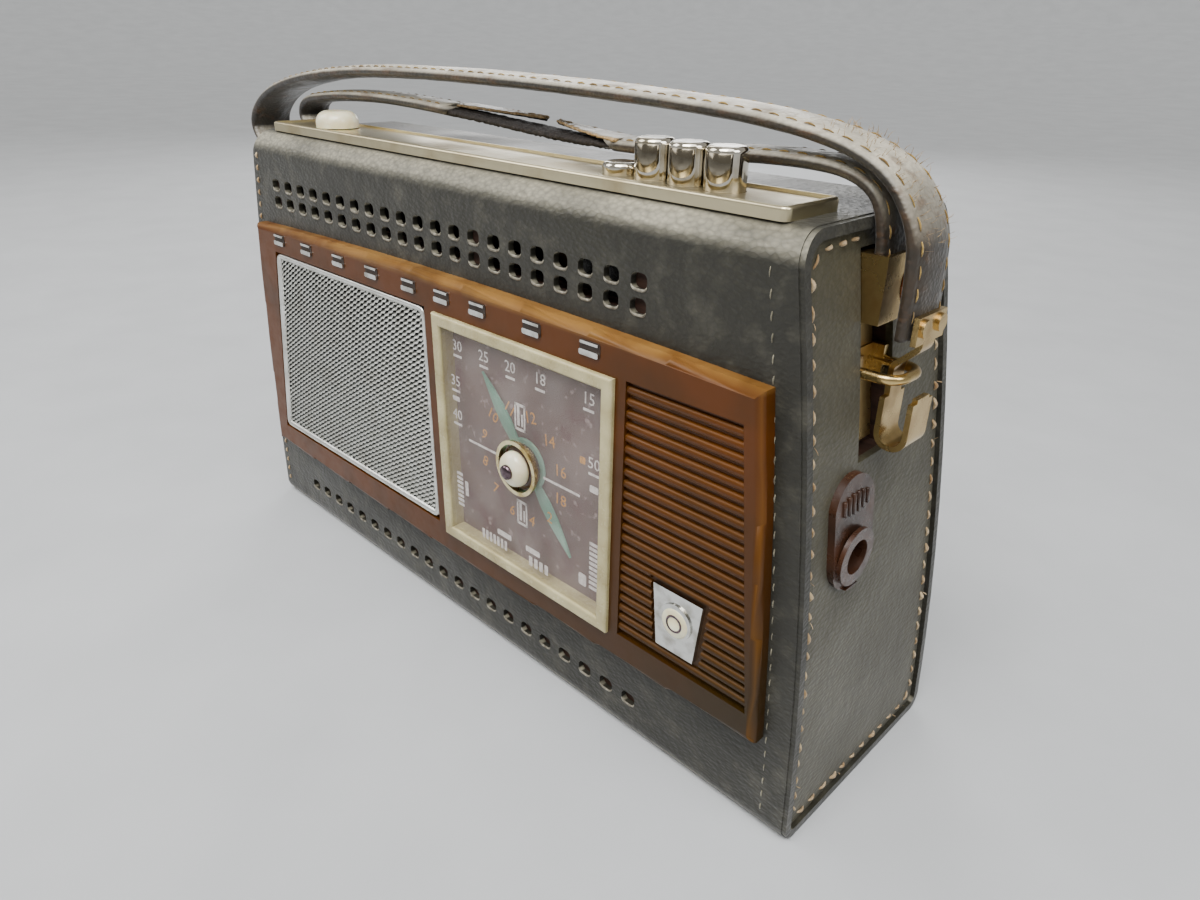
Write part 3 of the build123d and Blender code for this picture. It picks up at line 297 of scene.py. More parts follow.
def thread(name, colour, shade):
    """Waxed linen thread, two-ply, frayed at the holes: matt, with a twist across it."""
    material, tree, shader = new_finish(name, Sheen_Weight=0.3, Sheen_Roughness=0.5)
    place = add(tree, "ShaderNodeTexCoord").outputs["Object"]
    turned = add(tree, "ShaderNodeMapping", {"Vector": place, "Rotation": (0.6, 0.6, 0.6)}).outputs[0]
    twist = add(tree, "ShaderNodeTexWave", {"Vector": turned, "Scale": 1000 / 3.0}).outputs[0]
    tint(tree, shader, linear(colour), [(patches(tree, 5, 0.4, 0.65), linear(shade)),
                                        (twist, linear(shade), 0.0, 0.4)])
    polish(tree, shader, twist, 0.75, 0.95)
    relief(tree, shader, [(twist, 0.06)])
    return material


def translucent_pointer():
    """Green polystyrene, thin enough for light to pass: pale where it lies over nothing."""
    material, tree, shader = new_finish("green_polystyrene", IOR=1.5, Alpha=0.72,
                                        Specular_IOR_Level=0.3)
    tint(tree, shader, linear("#6FA58C"), [(patches(tree, 10, 0.4, 0.6), linear("#93C0AA"))])
    polish(tree, shader, patches(tree, 3, 0.4, 0.7), 0.3, 0.45)
    return material


MAKERS = {
    # The pale colour on the rolled edges is wear and painted highlight.
    "case_leather": lambda: leather("waxed_black_olive_cowhide", picked("case"), "#191811", "#B2AC96",
                                    rub_and_sheen=0.9),
    "end_leather": lambda: leather("worn_olive_cowhide", picked("ends"), "#2F2C1F", "#857D64", rub_and_sheen=0.5),
    # The plywood is coloured dark red-brown as painted shade, so the wood seen through the punched holes
    # stays dark.
    "plywood": lambda: fibrous("stained_plywood", "#3E2314", "#27150C", 1.4, (0.15, 1, 1)),
    "amber_plastic": amber_fascia,
    "chrome_trim": lambda: metal("chromed_trim", "#D8D8D4", "#ABA89F", (0.1, 0.26), 4.0),
    "bright_aluminium": lambda: metal("bright_rolled_aluminium", "#E6E6E1", "#C6C5BE", (0.34, 0.46), 9.0),
    "dark_cloth": lambda: fibrous("black_speaker_cloth", "#1A1815", "#0D0C0B", 0.8),
    "cream_plastic": lambda: plastic("aged_cream_polystyrene", "#C2B88C", "#998C60", patch=12.0,
                                     Coat_Weight=0.2, Coat_Roughness=0.15),
    "clear_plastic": clear_lens,
    "dial_print": dial_face,
    "gilt_metal": lambda: metal("gilt_brass_ring", "#E6DAAE", "#B79F62", (0.18, 0.35), 4.0),
    "teal_plastic": translucent_pointer,
    "ivory_plastic": lambda: plastic("ivory_urea_moulding", "#EFE8CC", "#D9CDA3", (0.15, 0.3), 6.0,
                                     Subsurface_Weight=0.15, Subsurface_Scale=0.002, Coat_Weight=0.3),
    "steel": lambda: metal("zinc_plated_steel", "#B5B6B2", "#85847C", (0.3, 0.5), 5.0),
    "aluminium_vanes": lambda: metal("stamped_aluminium", "#C9CBCB", "#A0A2A0", (0.3, 0.45), 5.0),
    "brass": lambda: metal("tarnished_brass", "#CBB078", "#97794A", (0.22, 0.4), 9.0, (0.4, 0.75),
                           dent=0.015),
    "champagne_aluminium": lambda: metal("champagne_anodised_aluminium", "#DCD0AC", "#B4A27A",
                                         (0.28, 0.42), 18.0, (0.45, 0.75), brushed=(0.04, 1, 1)),
    "black_plastic": lambda: plastic("black_phenolic", "#141312", "#1F1C1A"),
    "metallised_cap": lambda: metal("metallised_acrylic_cap", "#EDE7DA", "#C9BEA6", (0.05, 0.12), 5.0,
                                    dent=0.003),
    "speaker_paper": lambda: fibrous("pressed_paper_cone", "#2A2723", "#191714", 0.7),
    "ferrite": lambda: plastic("sintered_ferrite", "#2B2B2E", "#1D1D20", (0.5, 0.7)),
    "phenolic_board": lambda: fibrous("phenolic_paper_board", "#6B4420", "#8A5A2C", 2.0, gloss=(0.35, 0.5)),
    "laminated_steel": lambda: fibrous("laminated_core_steel", "#5C5A55", "#33312E", 0.5, (1, 1, 0.1),
                                       (0.4, 0.55), Metallic=0.8),
    "blue_plastic": lambda: plastic("blue_polyester_sleeve", "#23507E", "#1B3E63"),
    "brown_ceramic": lambda: plastic("lacquered_ceramic", "#8A5A34", "#6F4526", (0.3, 0.45)),
    "copper_wire": lambda: metal("enamelled_copper_winding", "#C0653A", "#8C4424", (0.25, 0.4), 2.0),
    "card_cell": lambda: fibrous("printed_card_sleeve", "#2E5A3C", "#254A31", 1.5, gloss=(0.4, 0.55)),
    "brown_plastic": lambda: plastic("brown_phenolic", "#44291A", "#2A1A11", (0.25, 0.45), 7.0,
                                     Coat_Weight=0.2, Coat_Roughness=0.2),
    "strap_leather": strap_hide,
    # These are for details that have no CAD piece of their own.
    "cream_thread": lambda: thread("waxed_cream_thread", "#C6B08A", "#8F6F45"),
    "grey_thread": lambda: thread("soiled_grey_thread", "#8B8570", "#5A5543"),
    "gold_thread": lambda: thread("waxed_gold_thread", "#A5873F", "#6B5226"),
    "raw_edge": lambda: fibrous("raw_hide_edge", "#C9AE84", "#8E7048", 0.6, depth=0.2),
    "dark_core": lambda: fibrous("charred_cord_core", "#211710", "#120D09", 0.9, depth=0.25),
    # A dark brown used as painted shadow round the trim bars.
    "painted_shadow_brown": lambda: plastic("shaded_brown_recess", "#2E1B0C", "#1C1008", (0.5, 0.7)),
    "cap_window": lambda: metal("smoked_cap_window", "#8A8272", "#5E5546", (0.15, 0.3), 3.0),
    "white_ink": lambda: fibrous("white_screen_ink", "#F0ECE6", "#C9C1BB", 1.2, depth=0.01),
    "ochre_ink": lambda: fibrous("ochre_screen_ink", "#DDA043", "#B07C38", 1.0, depth=0.01),
    "copper_tongue": lambda: metal("worn_copper_tongue", "#C07C50", "#7E4A2A", (0.3, 0.5), 3.0),
    "dark_steel": lambda: metal("blued_steel_screw", "#6A5A60", "#3A3034", (0.2, 0.4), 2.0),
    # Pale partly as cut hide and partly as a painted highlight on the lower lips of the holes.
    "cut_and_lit_lip": lambda: fibrous("cut_hide_lip", "#9A9484", "#4B4538", 1.6, depth=0.1, gloss=(0.5, 0.7)),
    "pale_floor": lambda: fibrous("pale_matt_floor", "#BDBFC1", "#B6B8BA", 60.0, depth=0.02),
}
_made = {}


def finish(name):
    """The material for a slot or an extra finish, made the first time it is asked for."""
    if name not in _made:
        _made[name] = MAKERS[name]()
    return _made[name]


# ---------------------------------------------------------------- shapes

def round_turn(count):
    """Angles spaced evenly round one turn."""
    return [2 * math.pi * i / count for i in range(count)]


class Shape:
    """Vertices and faces gathered for one piece."""

    def __init__(self):
        self.points = []
        self.faces = []

    def loft(self, rings, closed=False, caps=True):
        """Joins rings of points that all have the same count, in order."""
        start, n = len(self.points), len(rings[0])
        for ring in rings:
            self.points += [tuple(p) for p in ring]
        last = len(rings) if closed else len(rings) - 1
        for k in range(last):
            a, b = start + k * n, start + ((k + 1) % len(rings)) * n
            self.faces += [(a + i, a + (i + 1) % n, b + (i + 1) % n, b + i) for i in range(n)]
        if caps and not closed:
            self.faces.append(tuple(start + i for i in reversed(range(n))))
            end = start + (len(rings) - 1) * n
            self.faces.append(tuple(end + i for i in range(n)))

    def bead(self, start, end, out, radius, lift, sides=6, steps=5):
        """One stitch: a thread that rises from one hole and goes down the next."""
        along = end - start
        side = along.cross(out).normalized()
        rings = []
        for k in range(steps + 1):
            t = k / steps
            arch = math.sin(math.pi * t)
            centre = start + along * t + out * lift * (arch - 0.35)
            r = radius * (0.45 + 0.55 * arch ** 0.6)
            rings.append([centre + side * r * math.cos(a) + out * r * 0.8 * math.sin(a)
                          for a in round_turn(sides)])
        self.loft(rings)

    def box(self, centre, across, up, deep, size):
        """A small block with its edges eased."""
        w, h, d = [s / 2 for s in size]
        ease = min(w, h) * 0.25
        outline = [(-w + ease, -h), (w - ease, -h), (w, -h + ease), (w, h - ease),
                   (w - ease, h), (-w + ease, h), (-w, h - ease), (-w, -h + ease)]
        self.loft([[centre + across * x + up * z + deep * y for x, z in outline] for y in (d, -d)])


def make_piece(name, shape, material, body, smooth=True):
    """One piece of the object from a shape: it rides on a body and takes a slot's finish."""
    if not shape.faces:
        raise RuntimeError(f"{name} came out empty")
    mesh = bpy.data.meshes.new(name)
    mesh.from_pydata(shape.points, [], shape.faces)
    mesh.materials.append(material)
    mesh.update()
    if smooth:
        mesh.shade_smooth()
    piece = bpy.data.objects.new(name, mesh)
    bpy.context.scene.collection.objects.link(piece)
    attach(piece, body)
    return piece


def touch(nodes, origin, direction):
    """Where a line first meets any of these CAD nodes: the place and the surface normal."""
    best = None
    for node in nodes:
        hit, place, normal, _ = NODES[node].ray_cast(origin, direction)
        if hit and (best is None or (place - origin).length < (best[0] - origin).length):
            best = (place, normal)
    return best


def spaced(path, step):
    """Points along a polyline, step apart."""
    out, carry = [path[0]], 0.0
    for a, b in zip(path, path[1:]):
        length = (b - a).length
        while carry + step <= length:
            carry += step
            out.append(a.lerp(b, carry / length))
        carry -= length
    return out


def smooth_route(points, rounds=4):
    """A smooth line that starts and ends on the route and cuts inside its corners."""
    line = [Vector(p) for p in points]
    for _ in range(rounds):
        cut = [line[0]]
        for a, b in zip(line, line[1:]):
            cut += [a.lerp(b, 0.25), a.lerp(b, 0.75)]
        line = cut + [line[-1]]
    return line


# ---------------------------------------------------------------- settings

class RadioCase(bpy.types.PropertyGroup):
    """Sizes of the leather case's stitching."""

    stitch_pitch: bpy.props.FloatProperty(
        name="Stitch pitch", description="From one saddle stitch to the next",
        default=5.8 * MM, unit="LENGTH")
    stitch_length: bpy.props.FloatProperty(
        name="Stitch length", description="Length of thread that shows in one stitch",
        default=3.4 * MM, unit="LENGTH")
    stitch_inset: bpy.props.FloatProperty(
        name="Stitch inset", description="From the case's corner to the end panel's seam",
        default=5.0 * MM, unit="LENGTH")
    thread_width: bpy.props.FloatProperty(
        name="Thread", description="Diameter of the saddle thread",
        default=0.9 * MM, unit="LENGTH")


class RadioGrille(bpy.types.PropertyGroup):
    """Sizes of the expanded metal speaker grille."""

    pitch: bpy.props.FloatProperty(
        name="Pitch", description="From one strand of the expanded metal to the next",
        default=1.5 * MM, unit="LENGTH")
    slope: bpy.props.FloatProperty(
        name="Slope", description="Angle at which the strands climb",
        default=math.radians(31), subtype="ANGLE")
    strand: bpy.props.FloatProperty(
        name="Strand", description="Width of a strand", default=1.32 * MM, unit="LENGTH")


class RadioDial(bpy.types.PropertyGroup):
    """Sizes of the dial's printing."""

    ring_radius: bpy.props.FloatProperty(
        name="Numeral ring", description="Radius of the ring of ochre numerals",
        default=18.3 * MM, unit="LENGTH")
    ink: bpy.props.FloatProperty(
        name="Ink", description="Thickness of the printed ink", default=0.05 * MM, unit="LENGTH")
    numeral_height: bpy.props.FloatProperty(
        name="Numerals", description="Height of the white numerals", default=4.6 * MM, unit="LENGTH")


class RadioStraps(bpy.types.PropertyGroup):
    """Sizes of the carrying handle and the long strap."""

    handle_width: bpy.props.FloatProperty(
        name="Handle width", description="Width of the carrying handle",
        default=13.2 * MM, unit="LENGTH")
    handle_thickness: bpy.props.FloatProperty(
        name="Handle thickness", description="Thickness of the carrying handle",
        default=4.2 * MM, unit="LENGTH")
    strap_width: bpy.props.FloatProperty(
        name="Strap width", description="Width of the long strap", default=18 * MM, unit="LENGTH")
    strap_thickness: bpy.props.FloatProperty(
        name="Strap thickness", description="Thickness of the long strap",
        default=4.5 * MM, unit="LENGTH")


def colour_field(name, description, code):
    """A colour that the sidebar offers."""
    return bpy.props.FloatVectorProperty(name=name, description=description, size=4, subtype="COLOR",
                                         min=0, max=1, default=linear(code))


class RadioColours(bpy.types.PropertyGroup):
    """The radio's main colours."""

    case: colour_field("Case leather", "Leather round the front, top and base", "#28261B")
    ends: colour_field("End leather", "Leather of the two stitched end panels", "#48442F")
    fascia: colour_field("Fascia", "Sprayed plastic panel round the grille and dial", "#532B04")
    dial: colour_field("Dial card", "Printed card behind the dial's lens", "#64544E")
    # The strap crown colour is partly wear and partly a painted highlight on the strap's upward-facing top.
    strap: colour_field("Strap crown", "Worn top of the handle and the long strap", "#C9C1AD")


class RadioStage(bpy.types.PropertyGroup):
    """Light and backdrop."""

    key_power: bpy.props.FloatProperty(
        name="Key light", description="Power of the large soft light over the front",
        default=8.0, unit="POWER")
    sky: bpy.props.FloatVectorProperty(
        name="Surroundings", description="Colour of the soft light from all round", size=4,
        subtype="COLOR", min=0, max=1, default=linear("#DCDAD4"))


# ---------------------------------------------------------------- the case

END_SEAM_MM = [(-14.6, 160.2), (-30.0, 160.2), (-33.4, 158.4), (-35.0, 154.5), (-35.0, 9.0), (-33.0, 5.2),
               (32.5, 5.2), (34.4, 8.5), (24.6, 154.5), (20.5, 160.0), (3.2, 160.2)]
THREAD_SWELLS = [0.85, 1.0, 1.0, 1.15, 1.45]
FRAYED_SHARE = 0.16
CORNER_SEAM_MM = {"right": 7.2, "left": 2.6}
# The right corner's thread is darker grey and thinner than the left corner's cream thread.
CORNER_THREAD = {"right": ("grey_thread", 1.0), "left": ("cream_thread", 2.2)}
CORNER_STITCH_MM = 2.4
HOLE_ROWS_MM = [(146.0, -108.6, 79.6), (139.6, -108.6, 79.6), (14.0, -111.0, 82.0)]
HOLES_IN_ROW = 21
HOLE_SIZE_MM = (5.4, 4.4)
# The lip runs only round the bottom of each hole, where the light falls on it: its pale colour is partly
# painted highlight.
LIP_START, LIP_SWEEP, LIP_STEPS = 196, 148, 12


class RADIO_OT_frame_finishes(bpy.types.Operator):
    """Gives every CAD piece the finish of its real material"""

    bl_idname = "radio.frame_finishes"
    bl_label = "Finish the frame"

    def execute(self, context):
        for node, piece in NODES.items():
            for slot in piece.material_slots:
                slot.material = finish(SLOT_OF[node])
        return {"FINISHED"}


class RADIO_OT_end_stitching(bpy.types.Operator):
    """Saddle stitches round both end panels, a little loose and frayed with age"""

    bl_idname = "radio.end_stitching"
    bl_label = "End stitching"

    def execute(self, context):
        sizes = context.scene.radio_case
        chance = random.Random(11)
        for side, hand in ((1, "right"), (-1, "left")):
            seam = Shape()
            nodes = [f"end_leather_{hand}", "end_piping", "leather_wrap"]
            inward = -side * ACROSS
            line = spaced([Vector((side * OUTSIDE, y * MM, z * MM)) for y, z in END_SEAM_MM],
                          sizes.stitch_pitch)
            for a, b in zip(line, line[1:]):
                along = (b - a).normalized()
                stray = along.cross(inward) * chance.uniform(-0.35, 0.35) * MM
                reach = sizes.stitch_length * chance.uniform(0.8, 1.2)
                first = touch(nodes, a, inward)
                last = touch(nodes, a + along * reach + stray, inward)
                if not first or not last:
                    continue
                thick = sizes.thread_width / 2 * chance.choice(THREAD_SWELLS)
                seam.bead(first[0], last[0], first[1], thick, thick * 1.3)
                if chance.random() < FRAYED_SHARE:
                    root = last[0] + last[1] * thick
                    loose = Vector((side * 1.2, chance.uniform(-1.8, 1.8), chance.uniform(-2, 1.2)))
                    seam.bead(root, root + loose * MM, last[1], thick * 0.3, 0.2 * MM, sides=4, steps=3)
            make_piece(f"end_stitches_{hand}", seam, finish("cream_thread"), "case")
        return {"FINISHED"}


class RADIO_OT_corner_stitching(bpy.types.Operator):
    """Fine stitches that hold the front leather to the end frames"""

    bl_idname = "radio.corner_stitching"
    bl_label = "Corner stitching"

    def execute(self, context):
        sizes = context.scene.radio_case
        chance = random.Random(23)
        for side, hand in ((1, "right"), (-1, "left")):
            seam = Shape()
            look, swell = CORNER_THREAD[hand]
            skin = ["leather_wrap", "end_piping"]
            z = 7 * MM
            while z < 156 * MM:
                edge = touch([f"end_leather_{hand}"], Vector((side * OUTSIDE, -0.030, z)), -side * ACROSS)
                x = edge[0].x - side * CORNER_SEAM_MM[hand] * MM
                low = touch(skin, Vector((x, -OUTSIDE, z)), DEEP)
                high = touch(skin, Vector((x, -OUTSIDE, z + CORNER_STITCH_MM * MM)), DEEP)
                if low and high:
                    thick = 0.2 * MM * chance.uniform(0.8, 1.25) * swell
                    seam.bead(low[0], high[0], low[1], thick, thick * 1.1)
                z += sizes.stitch_pitch * 0.82
            make_piece(f"corner_stitches_{hand}", seam, finish(look), "case")
        return {"FINISHED"}


class RADIO_OT_hole_lips(bpy.types.Operator):
    """The cut lip along the bottom of each punched hole, pale partly as cut hide and partly as a painted
    highlight where the light falls
    """

    bl_idname = "radio.hole_lips"
    bl_label = "Punched hole lips"

    def execute(self, context):
        lips = Shape()
        half_w, half_h = [s / 2 for s in HOLE_SIZE_MM]
        for z, first, last in HOLE_ROWS_MM:
            for i in range(HOLES_IN_ROW):
                x = first + (last - first) * i / (HOLES_IN_ROW - 1)
                rings = []
                for k in range(LIP_STEPS + 1):
                    t = k / LIP_STEPS
                    a = math.radians(LIP_START + LIP_SWEEP * t)
                    ca, sa = math.cos(a), math.sin(a)
                    spot = Vector((x + half_w * math.copysign(abs(ca) ** 0.6, ca), -40.0,
                                   z + half_h * math.copysign(abs(sa) ** 0.6, sa))) * MM
                    thick = (0.08 + 0.36 * math.sin(math.pi * t) ** 0.7) * MM
                    out = Vector((ca, 0, sa))
                    rings.append([spot + out * thick * math.cos(b) - DEEP * thick * 0.7 * math.sin(b)
                                  for b in round_turn(6)])
                lips.loft(rings)
        make_piece("hole_lips", lips, finish("cut_and_lit_lip"), "case")
        return {"FINISHED"}


# ---------------------------------------------------------------- fascia and grille

BAR_XS_MM = [-101.7, -80.8, -58.1, -36.6, -14.7, 3.1, 20.9, 45.1, 68.0]
BAR_Z_MM = 125.6
BAR_SHADOW_MM = (7.6, 4.2, 0.14)
BAR_STROKE_MM = (6.6, 0.8, 0.7)
BADGE_MM = (102.3, 56.7)
BADGE_DISC_MM = [(0.0, 0.42), (2.4, 0.36), (4.1, 0.24), (4.5, 0.0), (4.5, -0.4), (0.0, -0.4)]
BADGE_RING_MM = [(2.0, 0.3), (2.2, 0.55), (2.6, 0.52), (2.8, 0.3), (2.6, 0.1), (2.2, 0.1)]
GRILLE_MM = [(-119.6, 43.2), (-8.2, 43.2), (-8.2, 120.3), (-106.2, 120.3)]
GRILLE_FACE_MM = -43.6
STRANDS, STRAND_STEPS, STRAND_STEP_MM, STRAND_WAVE_MM = 72, 110, 0.8, 3.2
STRAND_TILT = math.radians(40)
RIM_MM = [(-119.6, 43.6), (-8.6, 43.6), (-8.6, 120.0), (-106.0, 120.0)]
RIM_FACE_MM = -44.4
RIM_CORNER_MM, RIM_STEP_MM, RIM_TOOTH_MM = 2.2, 1.1, 0.45


class RADIO_OT_fascia_trim(bpy.types.Operator):
    """Painted shadows and second strokes behind the plain trim bars, and the badge's plain disc"""

    bl_idname = "radio.fascia_trim"
    bl_label = "Fascia trim"

    def execute(self, context):
        bar_shadows, strokes = Shape(), Shape()
        for x in BAR_XS_MM:
            face = touch(["fascia_panel"], Vector(((x + 5.4) * MM, -OUTSIDE, BAR_Z_MM * MM)), DEEP)[0].y
            # Each dark box lies on the fascia face: it is painted shadow round the bar, not a recess.
            centre = Vector((x * MM, face - 0.04 * MM, (BAR_Z_MM + 1.15) * MM))
            bar_shadows.box(centre, ACROSS, UP, DEEP, [size * MM for size in BAR_SHADOW_MM])
            stroke = Vector((x * MM, face - 0.3 * MM, (BAR_Z_MM + 2.7) * MM))
            strokes.box(stroke, ACROSS, UP, DEEP, [size * MM for size in BAR_STROKE_MM])
        make_piece("trim_recesses", bar_shadows, finish("painted_shadow_brown"), "case", smooth=False)
        make_piece("trim_strokes", strokes, finish("chrome_trim"), "case", smooth=False)

        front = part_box("badge")[0].y
        centre = Vector((BADGE_MM[0] * MM, front, (BADGE_MM[1] + 0.6) * MM))
        for name, look, slot, profile in (
            ("badge_disc", "ivory_plastic", "ivory_plastic", BADGE_DISC_MM),
            ("badge_rings", "dark_steel", "chrome_trim", BADGE_RING_MM),
        ):
            shape = Shape()
            rings = [[centre + Vector((r * math.cos(a), -h, r * math.sin(a))) * MM for r, h in profile]
                     for a in round_turn(40)]
            shape.loft(rings, closed=True)
            make_piece(name, shape, finish(look), "case")
        return {"FINISHED"}


def inside(point, outline):
    """Whether a point lies inside a convex outline that runs anticlockwise."""
    return all((bx - ax) * (point[1] - az) - (bz - az) * (point[0] - ax) >= 0
               for (ax, az), (bx, bz) in zip(outline, outline[1:] + outline[:1]))


class RADIO_OT_grille(bpy.types.Operator):
    """Expanded aluminium mesh with a rolled rim, over the black cloth"""

    bl_idname = "radio.grille"
    bl_label = "Speaker grille"

    def execute(self, context):
        sizes = context.scene.radio_grille
        pitch, strand = sizes.pitch / MM, sizes.strand / MM
        climb = Vector((math.cos(sizes.slope), 0, math.sin(sizes.slope)))
        rise = Vector((-climb.z, 0, climb.x))
        flat = (rise * math.cos(STRAND_TILT) + DEEP * math.sin(STRAND_TILT)) * strand / 2
        thin = (DEEP * math.cos(STRAND_TILT) - rise * math.sin(STRAND_TILT)) * 0.17
        centre = Vector((-60.0, GRILLE_FACE_MM, 82.0))
        mesh = Shape()
        for k in range(-STRANDS, STRANDS + 1):
            spots = []
            for i in range(-STRAND_STEPS, STRAND_STEPS + 1):
                along = i * STRAND_STEP_MM
                sway = pitch * 0.2 * math.sin(2 * math.pi * (along / STRAND_WAVE_MM + 0.5 * (k % 2)))
                spots.append(centre + climb * along + rise * (k * pitch + sway))
            held = [i for i, spot in enumerate(spots) if inside((spot.x, spot.z), GRILLE_MM)]
            if len(held) > 1:
                corners = (flat + thin, flat - thin, -flat - thin, thin - flat)
                mesh.loft([[(spot + p) * MM for p in corners] for spot in spots[held[0]:held[-1] + 1]])
        grille = make_piece("expanded_grille", mesh, finish("bright_aluminium"), "case",
                            smooth=False)
        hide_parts("speaker_grille")

        rim = Shape()
        corners = [Vector((x, RIM_FACE_MM, z)) for x, z in RIM_MM]
        bends = []
        for a, here, b in zip(corners[-1:] + corners[:-1], corners, corners[1:] + corners[:1]):
            start = here + (a - here).normalized() * RIM_CORNER_MM
            end = here + (b - here).normalized() * RIM_CORNER_MM
            bends += [start.lerp(here, t).lerp(here.lerp(end, t), t) for t in (0, 0.25, 0.5, 0.75, 1)]
        line = []
        for a, b in zip(bends, bends[1:] + bends[:1]):
            count = max(1, int((b - a).length / RIM_STEP_MM))
            line += [a.lerp(b, i / count) for i in range(count)]
        rings = []
        for i, spot in enumerate(line):
            along = (line[(i + 1) % len(line)] - line[i - 1]).normalized()
            inward = along.cross(DEEP)
            tooth = RIM_TOOTH_MM if i % 2 else 0.0
            section = [(-0.9, 0.9), (-0.9, -0.1), (-0.5, -0.55), (0.1, -0.6), (0.6, -0.3),
                       (1.1 + tooth, 0.2), (1.1 + tooth, 0.6), (0.3, 0.9)]
            rings.append([(spot + inward * u + DEEP * v) * MM for u, v in section])
        rim.loft(rings, closed=True)
        make_piece("grille_rim", rim, finish("bright_aluminium"), "case")
        return {"FINISHED"}


# ---------------------------------------------------------------- dial

DIAL_CENTRE_MM = (37.8, 80.6)
INK_Y_MM = -44.0
# Each white numeral is (right, up, text) and each block (right, up, width, height), from the centre.
WHITE_NUMERALS = [(-29.6, 31.2, "30"), (-16.4, 31.2, "25"), (-4.0, 31.2, "20"), (9.2, 31.2, "18"),
                  (29.0, 31.2, "15"), (-31.4, 19.0, "35"), (-31.4, 7.2, "40"), (31.4, 12.2, "50")]
WHITE_BLOCKS = [(-31.6, 12.9, 3.6, 1.6), (-9.3, -28.9, 7.0, 2.0), (4.8, -28.9, 6.6, 2.0),
                (31.6, 4.3, 3.4, 2.2), (27.4, -28.2, 3.2, 4.2), (-28.6, -19.3, 1.6, 5.6)]
# A group of bars is (right, up, how many, thickness, length, whether they are stacked).
BAR_GROUPS = [(-14.6, -33.0, 7, 1.25, 3.6, False), (7.4, -33.0, 4, 1.6, 3.6, False),
              (32.0, -21.6, 10, 1.1, 3.6, True), (-32.2, -20.8, 8, 1.1, 3.2, True)]
# The two framed marks over and under the centre are each made of these strokes.
FRAMED_MARK = [(-2.1, 0, 0.7, 8.6), (2.1, 0, 0.7, 8.6), (0, 4.0, 4.9, 0.9), (0, -4.0, 4.9, 0.9),
               (-0.7, 0.4, 1.1, 6.4), (1.0, -0.8, 0.7, 4.0)]
OCHRE_NUMERALS = ["12", "14", "16", "18", "2", "4", "6", "7", "8", "9", "10", "11"]


def numeral(shape, text, centre, height, spin=0.0):
    """Adds a dial number, drawn in Blender's own plain face and facing the front."""
    curve = bpy.data.curves.new("numeral", "FONT")
    curve.body, curve.size, curve.extrude = text, height * 1.36, 0.00002
    curve.align_x, curve.align_y, curve.resolution_u = "CENTER", "CENTER", 2
    holder = bpy.data.objects.new("numeral", curve)
    mesh = bpy.data.meshes.new_from_object(holder)
    start = len(shape.points)
    turn = Matrix.Rotation(spin, 4, "Y") @ Matrix.Rotation(math.radians(90), 4, "X")
    shape.points += [tuple(turn @ v.co + centre) for v in mesh.vertices]
    shape.faces += [tuple(start + i for i in face.vertices) for face in mesh.polygons]
    bpy.data.objects.remove(holder)
    bpy.data.curves.remove(curve)
    bpy.data.meshes.remove(mesh)


def dial_spot(u, v):
    """A point on the back of the lens, u right and v up from the dial's centre, in mm."""
    return Vector((DIAL_CENTRE_MM[0] + u, INK_Y_MM, DIAL_CENTRE_MM[1] + v)) * MM


class RADIO_OT_dial_print(bpy.types.Operator):
    """White and ochre numerals, plain blocks and the tuning line, printed behind the lens"""

    bl_idname = "radio.dial_print"
    bl_label = "Dial printing"

    def execute(self, context):
        sizes = context.scene.radio_dial
        white, ochre = Shape(), Shape()

        def block(shape, u, v, wide, high):
            shape.box(dial_spot(u, v), ACROSS, UP, DEEP, (wide * MM, high * MM, sizes.ink))

        for u, v, text in WHITE_NUMERALS:
            numeral(white, text, dial_spot(u, v), sizes.numeral_height * 0.8)
            block(white, u, v - 3.3, 4.2, 0.8)
        for u, v, wide, high in WHITE_BLOCKS:
            block(white, u, v, wide, high)
        for u, v, count, thick, length, stacked in BAR_GROUPS:
            for i in range(count):
                shift = (i - (count - 1) / 2) * thick * 1.55
                if stacked:
                    block(white, u, v + shift, length, thick)
                else:
                    block(white, u + shift, v, thick, length)
        for v in (16.4, -16.8):
            for du, dv, wide, high in FRAMED_MARK:
                block(white, du, v + dv, wide, high)
        for side in (-1, 1):
            block(white, side * 18.1, 0, 15.6, 0.8)
        for i, text in enumerate(OCHRE_NUMERALS):
            a = math.radians(75 - 30 * i)
            spot = dial_spot(math.cos(a) * sizes.ring_radius / MM, math.sin(a) * sizes.ring_radius / MM)
            numeral(ochre, text, spot, sizes.numeral_height * 0.85, -a * 0.12)
        block(ochre, 26.9, 12.0, 2.2, 2.2)
        make_piece("dial_white_print", white, finish("white_ink"), "case", smooth=False)
        make_piece("dial_ochre_print", ochre, finish("ochre_ink"), "case", smooth=False)
        return {"FINISHED"}


# ---------------------------------------------------------------- straps

HANDLE_ROUTE_MM = [
    (127.2, 141), (127.2, 165), (119.5, 173.5), (98, 175), (62, 172.5), (24, 172.5), (-14, 175),
    (-54, 177.5), (-88, 178), (-116, 176.5), (-134, 174), (-137, 166.5), (-127.2, 162.5), (-127.2, 141)]
LONG_ROUTE_MM = [
    (136.2, 139), (136.2, 152), (135, 164.5), (124.5, 177), (98, 183), (56, 185.5), (6, 187), (-46, 187.5),
    (-96, 186.5), (-136, 182), (-164, 175), (-179, 163.5), (-172, 153.5), (-153, 151.5), (-136.2, 150),
    (-136.2, 139)]
TORN_MM = (-38.0, 44.0)
STRAP_MARGIN, HANDLE_MARGIN = 2.4 * MM, 2.1 * MM
STRAP_STITCH, HANDLE_STITCH = 5.2 * MM, 5.4 * MM
FIBRE_WIDTH, FIBRE_LENGTH = 0.09 * MM, 2.6 * MM
CORE_REACH = 8


